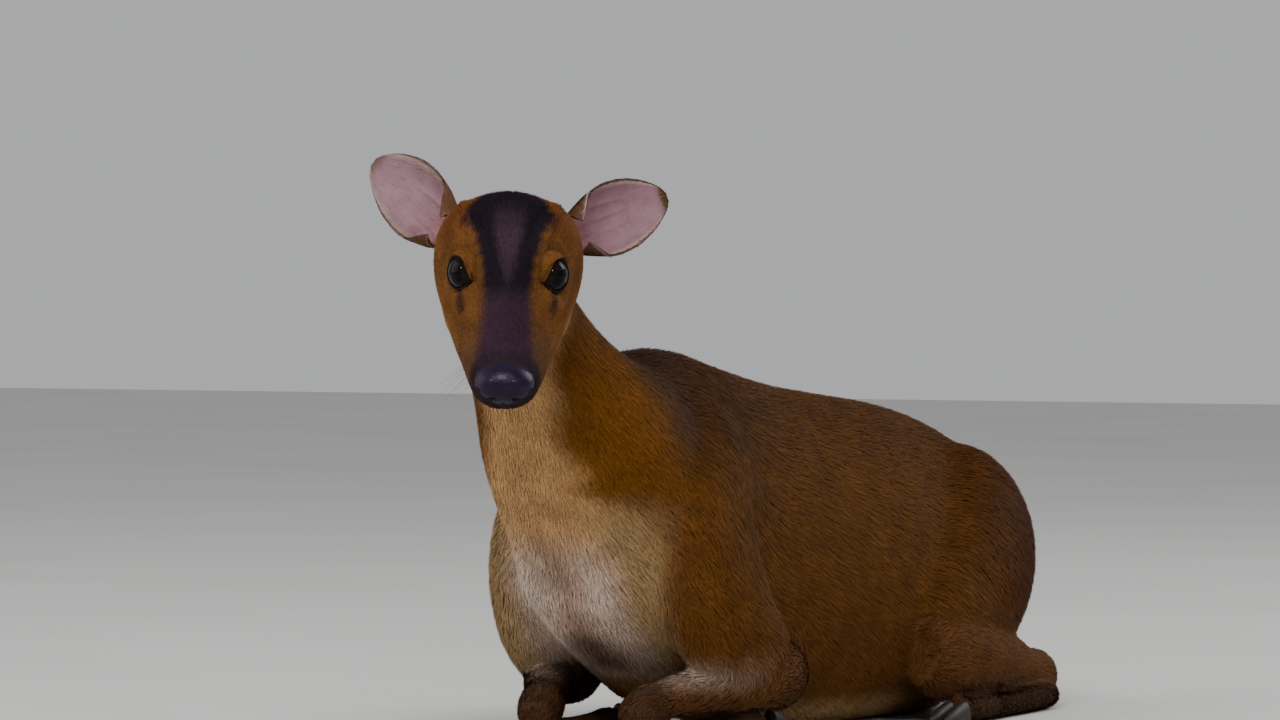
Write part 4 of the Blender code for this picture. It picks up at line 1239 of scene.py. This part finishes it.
def tufts(name, tree, roots, normals, lies, lengths, heights, widths, colours, uvs, material):
    """A piece of many thin blades: each is a tapered strip of three triangles that lies along the skin."""
    count = len(roots)
    lies = unit(lies - normals * dot(lies, normals)[:, None])
    across = np.cross(normals, lies)
    stray = np.radians(RANDOM.normal(0, STRAY, count))
    lies = lies * np.cos(stray)[:, None] + across * np.sin(stray)[:, None]
    tilt = np.radians(RANDOM.normal(0, TILT, count))
    lengths = lengths * RANDOM.uniform(0.72, 1.15, count)
    heights = heights * RANDOM.uniform(0.55, 1.08, count)
    middle, middle_normal = along_skin(tree, roots + lies * (0.5 * lengths)[:, None], normals)
    onward = unit(lies - middle_normal * dot(lies, middle_normal)[:, None])
    end, end_normal = along_skin(tree, middle + onward * (0.5 * lengths)[:, None], middle_normal)

    def side_of(direction, normal):
        flat = np.cross(normal, direction)
        return flat * np.cos(tilt)[:, None] + normal * np.sin(tilt)[:, None]

    points = np.empty((count, 5, 3))
    sunk = roots - normals * ROOT_DEPTH
    root_side = side_of(lies, normals) * (0.42 * widths)[:, None]
    middle_side = side_of(onward, middle_normal) * (0.5 * widths)[:, None]
    raised = middle + middle_normal * (0.72 * heights)[:, None]
    points[:, 0] = sunk - root_side
    points[:, 1] = sunk + root_side
    points[:, 2] = raised - middle_side
    points[:, 3] = raised + middle_side
    points[:, 4] = end + end_normal * heights[:, None]
    points[..., 2] = np.maximum(points[..., 2], LOWEST_HAIR)
    corner = np.arange(count)[:, None] * 5
    faces = np.stack([corner + (0, 1, 3), corner + (0, 3, 2), corner + (2, 3, 4)], axis=1).reshape(-1, 3)
    shade = np.empty((count, 5, 3))
    tone = RANDOM.normal(1.0, TONE_SPREAD, count)[:, None]
    tip = RANDOM.choice(TIP_TONES, count, p=TIP_SHARES)[:, None]
    shade[:, 0] = shade[:, 1] = colours * tone * ROOT_TONE
    shade[:, 2] = shade[:, 3] = colours * tone
    shade[:, 4] = colours * tone * tip
    patch = np.empty((count, 5, 2))
    patch[:] = uvs[:, None]
    patch += np.array([(-0.5, -0.5), (0.5, -0.5), (-0.5, 0.1), (0.5, 0.1), (0.0, 0.5)]) * PATCH
    shade = np.clip(shade.reshape(-1, 3), 0, 1)
    return mesh_object(name, points.reshape(-1, 3), faces, material, shade, patch.reshape(-1, 2))


def skin_unwrap(obj):
    """Unwraps the skin piece over its own shape, and returns the place of each triangle's corners."""
    obj.data.uv_layers.new(name="OFBake")
    bpy.context.view_layer.objects.active = obj
    obj.select_set(True)
    bpy.ops.object.mode_set(mode="EDIT")
    bpy.ops.mesh.select_all(action="SELECT")
    bpy.ops.uv.smart_project(angle_limit=math.radians(66), island_margin=0.001)
    bpy.ops.object.mode_set(mode="OBJECT")
    obj.select_set(False)
    layer = obj.data.uv_layers["OFBake"]
    flat = np.empty(len(obj.data.loops) * 2, np.float32)
    layer.data.foreach_get("uv", flat)
    return flat.reshape(-1, 3, 2)


def face_lie(points, lie):
    """Turns the hair aside round the eyes."""
    is_head = on_head(points, 0.0, -0.03)
    lie = lie.copy()
    for side in (1, -1):
        q = eye_place(points, side)
        gap = np.linalg.norm(q, axis=1)
        away = q.copy()
        away[:, 2] = 0
        _, turn = eye_frame(side)
        push = unit(away) @ turn.T
        strength = 1.1 * smooth_step(0.026, 0.014, gap) * is_head
        lie += push * strength[:, None]
    return unit(lie)


def hair_density(points, density):
    """Tufts to a square millimetre: none on the nose, lid rims, slits and ear cups."""
    bare = (pad_share(points) < 0.99) | ear_cup_depth(points)[0]
    bare |= gap_to(points, FOLDS["mouth"]) < 0.0009
    for side in (1, -1):
        q = eye_place(points, side)
        gap = np.linalg.norm(q, axis=1)
        bare |= (opening_share(q) < 1.11) & (q[:, 2] > 0) & (gap < 2 * EYE_RADIUS)
        bare |= gap_to(points, FOLDS[f"gland{side}"]) < 0.0014
        density = density * (1 + 1.2 * smooth_step(0.026, 0.017, gap))
    return np.where(bare, 0, density)


def dress(skin, coat_material):
    """Grows the tufts of each part of the coat from the skin."""
    points, triangles, share, lie, depth, corners = skin
    normals = point_normals(points, triangles)
    tree = BVHTree.FromPolygons([tuple(p) for p in points], triangles.tolist())
    lie = face_lie(points, lie)
    table = np.array([COAT[r] for r in REGIONS])
    length, width, density = (share @ table[:, k] for k in (1, 2, 3))
    length = length * (0.45 + 0.55 * depth / (share @ table[:, 0]))
    s, f, u = to_head(points).T
    crest = np.exp(-((s / 0.016) ** 2)) * smooth_step(0.055, 0.068, u) * smooth_step(0.072, 0.050, f)
    depth = depth * (1 + 0.6 * crest * (f > -0.01) * share[:, REGIONS.index("head")])
    density = hair_density(points, density) * QUICK_SHARE
    density *= 1 - 0.6 * smooth_step(-0.5, -0.9, normals[:, 2]) * smooth_step(0.035, 0.015, points[:, 2])
    region = share[triangles].mean(axis=1).argmax(axis=1)
    weight = density[triangles].min(axis=1)
    left = points[triangles].mean(axis=1)[:, 0] >= 0
    masks = {}
    for name, members in (
        ("coat_head", ("head",)),
        ("coat_neck", ("neck",)),
        ("coat_tail", ("tail",)),
        ("coat_legs", ("forearm", "fore_cannon", "shank", "hind_cannon")),
        ("coat_trunk", ("trunk", "shoulder", "thigh")),
    ):
        masks[name] = np.isin(region, [REGIONS.index(r) for r in members])
    trunk = masks.pop("coat_trunk")
    masks["coat_trunk_left"] = trunk & left
    masks["coat_trunk_right"] = trunk & ~left
    for name, mask in masks.items():
        chosen, shares = root_places(points, triangles[mask], weight[mask])
        chosen = np.flatnonzero(mask)[chosen]
        found = [mixed(v, triangles, chosen, shares) for v in (points, normals, lie, length, depth, width)]
        roots, root_normals = found[0], unit(found[1])
        colours = markings(roots, root_normals, mixed(share, triangles, chosen, shares))
        uv = (corners[chosen] * shares[..., None]).sum(axis=1)
        pieces = max(1, math.ceil(len(roots) / PIECE_TUFTS))
        order = np.argsort(roots[:, 1], kind="stable")
        for k, part in enumerate(np.array_split(order, pieces)):
            label = name if pieces == 1 else f"{name}_{k + 1}"
            values = [roots[part], root_normals[part]] + [v[part] for v in found[2:]]
            made = tufts(label, tree, *values, colours[part], uv[part], coat_material)
    face_hairs(tree, corners, coat_material)


def face_hairs(tree, corners, material):
    """Lashes over the eyes, and whiskers on the lips and chin, each a thin blade that bends."""
    hairs = []  # root, direction, length, width and colour of each
    for side in (1, -1):
        centre, turn = eye_frame(side)
        for _ in range(LASHES):
            angle = math.radians(RANDOM.uniform(12, 168))
            x, y = math.cos(angle) * EYE_OPENING[0] * 1.10, math.sin(angle) * EYE_OPENING[1] * 1.10
            depth = math.sqrt(max((EYE_RADIUS + 0.0012) ** 2 - x * x - y * y, 0))
            way = turn @ np.array([0.55 * math.cos(angle), 0.40 + 0.2 * math.sin(angle), 0.85])
            root = centre + turn @ np.array([x, y, depth])
            hairs.append((root, way, RANDOM.uniform(0.0035, 0.0062), LASH_WIDTH, LASH_DARK))
        for _ in range(LIP_WHISKERS):
            forward, up = RANDOM.uniform(0.128, 0.160), RANDOM.uniform(0.0175, 0.0235)
            way = (side, RANDOM.uniform(0.1, 0.8), RANDOM.uniform(-0.7, 0.1))
            root = from_head(np.array([side * 0.030, forward, up]))
            length = RANDOM.uniform(0.012, 0.026)
            hairs.append((root, HEAD_TURN @ way, length, WHISKER_WIDTH, WHISKER_BROWN))
        for _ in range(CHIN_WHISKERS):
            across, forward = RANDOM.uniform(0.002, 0.014), RANDOM.uniform(0.135, 0.162)
            way = (side * RANDOM.uniform(0.1, 0.9), RANDOM.uniform(0.5, 1.3), -0.8)
            root = from_head(np.array([side * across, forward, -0.010]))
            length = RANDOM.uniform(0.005, 0.011)
            hairs.append((root, HEAD_TURN @ way, length, WHISKER_WIDTH, WHISKER_BROWN))
    points, faces, tones, uvs = [], [], [], []
    spread = [(-0.5, -0.5), (0.5, -0.5), (-0.5, -0.2), (0.5, -0.2), (-0.5, 0.2), (0.5, 0.2), (0, 0.5)]
    for root, way, length, width, colour in hairs:
        place, _, index, _ = tree.find_nearest(Vector(root))
        root, way = np.array(place), unit(way)
        across = unit(np.cross(way, np.array([0.3, 0.2, 1.0]))) * width / 2
        sag = np.array([0, 0, -0.25]) * length
        first = len(points)
        for t in (0.0, 0.35, 0.7):
            middle = root + way * length * t + sag * t * t
            points += [middle - across * (1 - t), middle + across * (1 - t)]
        points.append(root + way * length + sag)
        for a in (first, first + 2):
            faces += [(a, a + 1, a + 3), (a, a + 3, a + 2)]
        faces.append((first + 4, first + 5, first + 6))
        uvs += [corners[index].mean(axis=0) + np.array(step) * PATCH for step in spread]
        tones += [colour] * 7
    made = mesh_object("coat_whiskers", points, faces, material, np.array(tones), np.array(uvs))


# Ears, eyes, nose and hooves


def level_head(side, forward, up):
    """A direction given by the head's yaw alone, as if the muzzle were level."""
    left = Vector((math.cos(HEAD_YAW), math.sin(HEAD_YAW), 0))
    facing = Vector((math.sin(HEAD_YAW), -math.cos(HEAD_YAW), 0))
    return left * side + facing * forward + Vector((0, 0, up))


def ear_directions(side, out, up, back):
    """Root of an ear, with the directions along it, out of its opening, and across it."""
    axis = level_head(side * out, -back, up).normalized()
    opening = level_head(side * 0.20, 1.0, 0.0)
    opening = (opening - axis * opening.dot(axis)).normalized()
    root = in_head(*mirrored(EAR_ROOT, side))
    return [np.array(v) for v in (root, axis, opening, axis.cross(opening))]


def ear_tones(share, k, inner):
    """Colours across an ear at a share of its length: mauve skin, red folds, pale edge, dark rim."""
    same = np.ones(len(k))
    if not inner:
        back = lerp(EAR_BACK, EAR_BACK_ROOT, smooth_step(0.45, 0.05, share))
        return lerp(plain(back, k), EAR_BACK_RIM, 0.8 * smooth_step(0.70, 0.95, np.abs(k)))
    streak = np.exp(-(((k + 0.04) / 0.20) ** 2)) + 0.8 * np.exp(-(((k - 0.46) / 0.13) ** 2))
    red = smooth_step(0.50, 0.08, share) * (0.55 + 0.45 * np.clip(streak, 0, 1))
    tone = lerp(EAR_INSIDE, EAR_RED, red)
    tone = lerp(tone, EAR_INSIDE_ROOT, 0.8 * smooth_step(0.20, 0.05, share) * same)
    tone = lerp(tone, EAR_PALE, smooth_step(0.84, 0.94, np.abs(k)))
    tone = lerp(tone, EAR_RIM, smooth_step(0.95, 1.0, np.abs(k)))
    return lerp(tone, EAR_RIM, smooth_step(0.90, 1.0, share) * same)


def ear(name, side, lean, materials):
    """A cupped ear blade with ridges inside it, a thin rim, and short hair on its back."""
    root, axis, opening, across = ear_directions(side, *lean)
    steps, strips = 72, 56
    k = np.linspace(-1, 1, strips + 1)
    skins, tones, uvs = [], [], []
    for inner in (False, True):
        grid, tone = [], []
        for share, radius, half_angle in smooth_rows(EAR_BLADE, steps):
            share, half = min(share, 1.0), math.radians(half_angle)
            centre = root + axis * EAR_LENGTH * share - opening * 0.006 * math.sin(math.pi * share)
            rim = radius * math.cos(min(half, math.pi / 2))
            thick = np.zeros(strips + 1)
            if inner:
                edge = np.maximum(smooth_step(0.80, 1.0, np.abs(k)), smooth_step(0.90, 1.0, share))
                fade = math.sin(math.pi * min(share / 0.72, 1.0)) ** 0.7
                ridges = sum(np.exp(-(((k - at) / 0.055) ** 2)) for at in (-0.42, -0.10, 0.24))
                thick = 0.0017 - 0.0012 * edge + 0.0010 * fade * ridges
            reach = radius - 0.0005 - thick
            sideways = across * (reach * np.sin(half * k))[:, None]
            inward = opening * (reach * np.cos(half * k) - 0.5 * rim)[:, None]
            grid.append(centre + sideways - inward)
            tone.append(ear_tones(share, k, inner))
        skins.append(np.vstack(grid))
        tones.append(np.vstack(tone))
        u, v = np.meshgrid(np.linspace(0.02, 0.48, strips + 1), np.linspace(0.02, 0.98, steps))
        uvs.append(np.stack([u.ravel() + (0.5 if inner else 0.0), v.ravel()], axis=1))
    wide = strips + 1
    count = steps * wide
    faces = []
    for r in range(steps - 1):
        for s in range(strips):
            a = r * wide + s
            faces.append((a, a + 1, a + wide + 1, a + wide))
            faces.append((count + a, count + a + wide, count + a + wide + 1, count + a + 1))
    rim_loop = list(range(strips))
    rim_loop += [r * wide + strips for r in range(steps - 1)]
    rim_loop += [(steps - 1) * wide + s for s in range(strips, 0, -1)]
    rim_loop += [r * wide for r in range(steps - 1, 0, -1)]
    for a, b in zip(rim_loop, rim_loop[1:] + rim_loop[:1]):
        faces.append((a, b, count + b, count + a))
    points = np.vstack(skins)
    colours, uv = np.vstack(tones), np.vstack(uvs)
    faces = np.array(faces)
    if side < 0:
        faces = faces[:, ::-1]
    blade = mesh_object(name + "_blade", points, faces, materials["ear"], colours, uv)
    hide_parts(name)
    quads = faces[: 2 * (steps - 1) * strips]
    ear_hair(name, points, quads, wide, steps, axis, uv, colours, materials["hair"])


def ear_hair(name, points, quads, wide, steps, axis, uv, colours, material):
    """Short hair on the ear's back and rim, and sparse long pale hair inside it."""
    triangles = np.concatenate([quads[:, [0, 1, 2]], quads[:, [0, 2, 3]]])
    count = wide * steps
    inside = triangles.min(axis=1) >= count
    normals = point_normals(points, triangles)
    tree = BVHTree.FromPolygons([tuple(p) for p in points], triangles.tolist())
    row = (np.arange(2 * count) % count) // wide / (steps - 1)
    column = np.abs((np.arange(2 * count) % count) % wide / (wide - 1) * 2 - 1)
    for label, mask, density, length, height, width in (
        ("back", ~inside, 2.0, 0.0048, 0.0010, 0.00052),
        ("inside", inside, 0.36, 0.0072, 0.0015, 0.00026),
    ):
        weight = np.full(len(points), density * QUICK_SHARE)
        if label == "inside":
            weight *= 0.12 + 1.9 * smooth_step(0.60, 0.9, column) + 0.9 * smooth_step(0.45, 0.1, row)
        chosen, shares = root_places(points, triangles[mask], weight[triangles[mask]].mean(axis=1))
        chosen = np.flatnonzero(mask)[chosen]
        roots = mixed(points, triangles, chosen, shares)
        root_normals = unit(mixed(normals, triangles, chosen, shares))
        lies = np.tile(axis, (len(roots), 1))
        tone = mixed(colours, triangles, chosen, shares)
        if label == "inside":
            tone = lerp(tone, EAR_HAIR, 0.45 * np.ones(len(roots)))
        sizes = [np.full(len(roots), v) for v in (length, height, width)]
        patch = mixed(uv, triangles, chosen, shares)
        made = tufts(f"{name}_{label}_hair", tree, roots, root_normals, lies, *sizes, tone, patch, material)


def ball(subdivisions):
    """Points and triangles of a round ball of radius 1."""
    shape = bmesh.new()
    bmesh.ops.create_icosphere(shape, subdivisions=subdivisions, radius=1)
    points = np.array([tuple(v.co) for v in shape.verts])
    triangles = np.array([[v.index for v in f.verts] for f in shape.faces])
    shape.free()
    return points, triangles


def eye(side, word, material):
    """An eyeball with a raised cornea, a wide dark pupil and a brown iris."""
    centre, turn = eye_frame(side)
    points, triangles = ball(6)
    outward = points[:, 2]
    angle = np.degrees(np.arccos(np.clip(outward, -1, 1)))
    radius = EYE_RADIUS * (0.985 + 0.030 * smooth_step(52, 20, angle))
    stretched = np.sqrt((points[:, 0] / 1.35) ** 2 + points[:, 1] ** 2)
    pupil = smooth_step(0.42, 0.34, stretched) * (outward > 0)
    iris = smooth_step(50, 44, angle)
    colour = lerp(lerp(EYE_WHITE, IRIS, iris), PUPIL, pupil)
    placed = centre + (points * radius[:, None]) @ turn.T
    if np.linalg.det(turn) < 0:
        triangles = triangles[:, ::-1]
    made = mesh_object(f"eyeball_{word}", placed, triangles, material, colour)
    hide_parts(f"eye_{word}")


def nose(material):
    """The bare pad, blunt in front, with wings lightened by painted sheen, a middle groove and comma-shaped
    nostrils.
    """
    points, triangles = ball(6)
    x, y, z = points.T
    blunt = (np.abs(points) ** 2.1).sum(axis=1) ** (-1 / 2.1)
    local = points * blunt[:, None] * np.array(NOSE_RADII)
    local[:, 0] *= 1 - 0.10 * smooth_step(-0.1, -1.0, z) - 0.06 * smooth_step(0.3, 1.0, z)
    wing = np.exp(-(((np.abs(x) - 0.74) / 0.20) ** 2 + ((z + 0.10) / 0.30) ** 2)) * (y > 0)
    local += points * (0.0006 * wing)[:, None]
    local[:, 2] -= 0.0010 * smooth_step(0.1, 0.9, z)
    front = smooth_step(0.0, 0.4, y)
    local[:, 1] -= 0.0011 * np.exp(-((x / 0.055) ** 2)) * front * smooth_step(0.20, -0.3, z)
    path = [(0.38, -0.34), (0.50, -0.46), (0.66, -0.44), (0.80, -0.28), (0.87, -0.06)]
    near = np.full(len(points), 1.0)
    for part in zip(path[:-1], path[1:]):
        wide = 0.125 - 0.09 * (part[0][0] - 0.38)
        near = np.minimum(near, gap_to(np.stack([np.abs(x), z], axis=1), np.array(part)) / wide)
    hole = smooth_step(1.05, 0.45, near) * (y > 0)
    local -= points * (0.0046 * hole)[:, None]
    # Painted sheen lightens the wings.
    colour = lerp(lerp(NOSE, NOSE_WING_SHEEN, 0.7 * wing), NOSTRIL, smooth_step(0.2, 0.8, hole))
    placed = from_head(local + np.array(NOSE_CENTRE))
    made = mesh_object("nose_leather", placed, triangles[:, ::-1], material, colour)
    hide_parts("nose_pad")


def hoof(name, replaced, tip, toe, material):
    """One half of a cloven foot: a horn wedge with a rounded wall and a flat sole."""
    along, down = np.array(toe, float), np.array((0.0, 0.0, -1.0))
    side = np.cross(along, down)
    rings = []
    for share in np.linspace(0, 1, 22):
        half = HOOF_WIDTH / 2 * (1 - 0.12 * share - 0.55 * share**4)
        height = HOOF_HEIGHT * (0.92 - 0.62 * share**1.4)
        ring = []
        for j in range(32):
            across, up = section(2 * math.pi * j / 32, half, height * 0.62, height * 0.38, 2.0, 4.0)
            start = np.array(tip) - along * HOOF_LENGTH * (1 - share)
            ring.append(start + side * across - down * (up + height * 0.38) + SHIFT)
        rings.append(ring)
    obj = add_object(name, *bridged(rings))
    obj.data.shade_smooth()
    obj.data.materials.append(material)
    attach(obj, "root")
    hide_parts(replaced)


def feet(material):
    for side, word in ((1, "left"), (-1, "right")):
        for place, lean in (("inner", -1), ("outer", 1)):
            step = side * lean * HOOF_WIDTH * 0.53
            fore = (side * 0.0495 + step, -0.0785, 0.0018)
            hind = (side * 0.1080 + step, 0.0175, 0.0002)
            end = f"{word}_{place}"
            hoof(f"horn_fore_{end}", f"foreleg_{word}_hoof_{place}", fore, (0, 1, 0), material)
            hoof(f"horn_hind_{end}", f"hindleg_{word}_hoof_{place}", hind, (0, -1, 0), material)


# Floor, light and camera


LIGHTS = (  # name, place, size and power
    ("key", (0.9, -2.3, 2.3), 1.1, 66),
    ("catch_left", (2.4, -1.75, 1.5), 0.22, 13),
    ("catch_right", (-0.45, -3.0, 1.6), 0.22, 13),
    ("fill", (-2.4, -1.6, 1.3), 2.4, 34),
    ("rim", (1.6, 2.4, 2.0), 1.6, 44),
)
WORLD_COLOUR = (0.87, 0.88, 0.90, 1)
WORLD_STRENGTH = 0.55


def stage_material():
    made, tree, shader = new_material("studio_floor", 0.8, 0.2)
    cloud = ramp(tree, noise(tree, 3, 2), [(0.3, (0.60, 0.59, 0.57)), (0.7, (0.64, 0.63, 0.61))])
    tree.links.new(cloud, shader.inputs["Base Color"])
    return made


def studio():
    mesh = bpy.data.meshes.new("floor")
    mesh.from_pydata([(-8, -8, 0), (8, -8, 0), (8, 8, 0), (-8, 8, 0)], [], [(0, 1, 2, 3)])
    mesh.materials.append(stage_material())
    floor = bpy.data.objects.new("floor", mesh)
    bpy.context.scene.collection.objects.link(floor)
    middle = Vector((0, 0, 0.2))
    for name, place, size, power in LIGHTS:
        light = bpy.data.lights.new(name, "AREA")
        light.size = size
        light.energy = power
        lamp = bpy.data.objects.new(name, light)
        lamp.location = place
        lamp.rotation_euler = (middle - Vector(place)).to_track_quat("-Z", "Y").to_euler()
        bpy.context.scene.collection.objects.link(lamp)
    world = bpy.data.worlds.new("studio")
    world.use_nodes = True
    world.node_tree.nodes["Background"].inputs["Color"].default_value = WORLD_COLOUR
    world.node_tree.nodes["Background"].inputs["Strength"].default_value = WORLD_STRENGTH
    bpy.context.scene.world = world


CAMERA_AZIMUTH = math.radians(30)
CAMERA_ELEVATION = math.radians(1)
CAMERA_DISTANCE = 4.0
PHOTO_SIZE = (1280, 720)
FOCAL_PIXELS = 6800  # focal length in the photo's own pixels
EYES_PIXEL = (508, 273)  # where the middle between the eyes shows


def camera():
    """The photo's view: level, on a long lens, off the animal's left front."""
    eyes = (Vector(eye_frame(1)[0]) + Vector(eye_frame(-1)[0])) / 2 + Vector(SHIFT)
    level = math.cos(CAMERA_ELEVATION)
    back = Vector(
        (
            math.sin(CAMERA_AZIMUTH) * level,
            -math.cos(CAMERA_AZIMUTH) * level,
            math.sin(CAMERA_ELEVATION),
        )
    )
    right = Vector((math.cos(CAMERA_AZIMUTH), math.sin(CAMERA_AZIMUTH), 0))
    up = right.cross(-back)
    aside = (EYES_PIXEL[0] - PHOTO_SIZE[0] / 2) / FOCAL_PIXELS
    above = (PHOTO_SIZE[1] / 2 - EYES_PIXEL[1]) / FOCAL_PIXELS
    place = eyes - CAMERA_DISTANCE * (-back + right * aside + up * above)
    lens = bpy.data.cameras.new("camera")
    lens.sensor_width = 36
    lens.lens = 36 * FOCAL_PIXELS / PHOTO_SIZE[0]
    lens.clip_end = 60
    obj = bpy.data.objects.new("camera", lens)
    turn = Matrix((right, up, back)).transposed()
    obj.matrix_world = Matrix.Translation(place) @ turn.to_4x4()
    bpy.context.scene.collection.objects.link(obj)
    bpy.context.scene.camera = obj


def main():
    flesh = ["torso", "neck", "head", "tail"]
    for word in ("left", "right"):
        flesh += [f"foreleg_{word}_{part}" for part in ("upper", "forearm", "cannon")]
        flesh += [f"hindleg_{word}_{part}" for part in ("thigh", "shank", "cannon")]
    materials = {"hair": hair_material(), "ear": ear_material()}
    points, triangles, share, lie, depth = build_skin()
    colours = markings(points, point_normals(points, triangles), share)
    skin = mesh_object("skin", points, triangles, skin_material(), colours)
    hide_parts(*flesh)
    corners = skin_unwrap(skin)
    dress((points, triangles, share, lie, depth, corners), materials["hair"])
    for word, (side, lean) in zip(("left", "right"), EARS):
        ear(f"ear_{word}", side, lean, materials)
    shine = eye_material()
    eye(1, "left", shine)
    eye(-1, "right", shine)
    nose(nose_material())
    feet(hoof_material())
    studio()
    camera()


main()
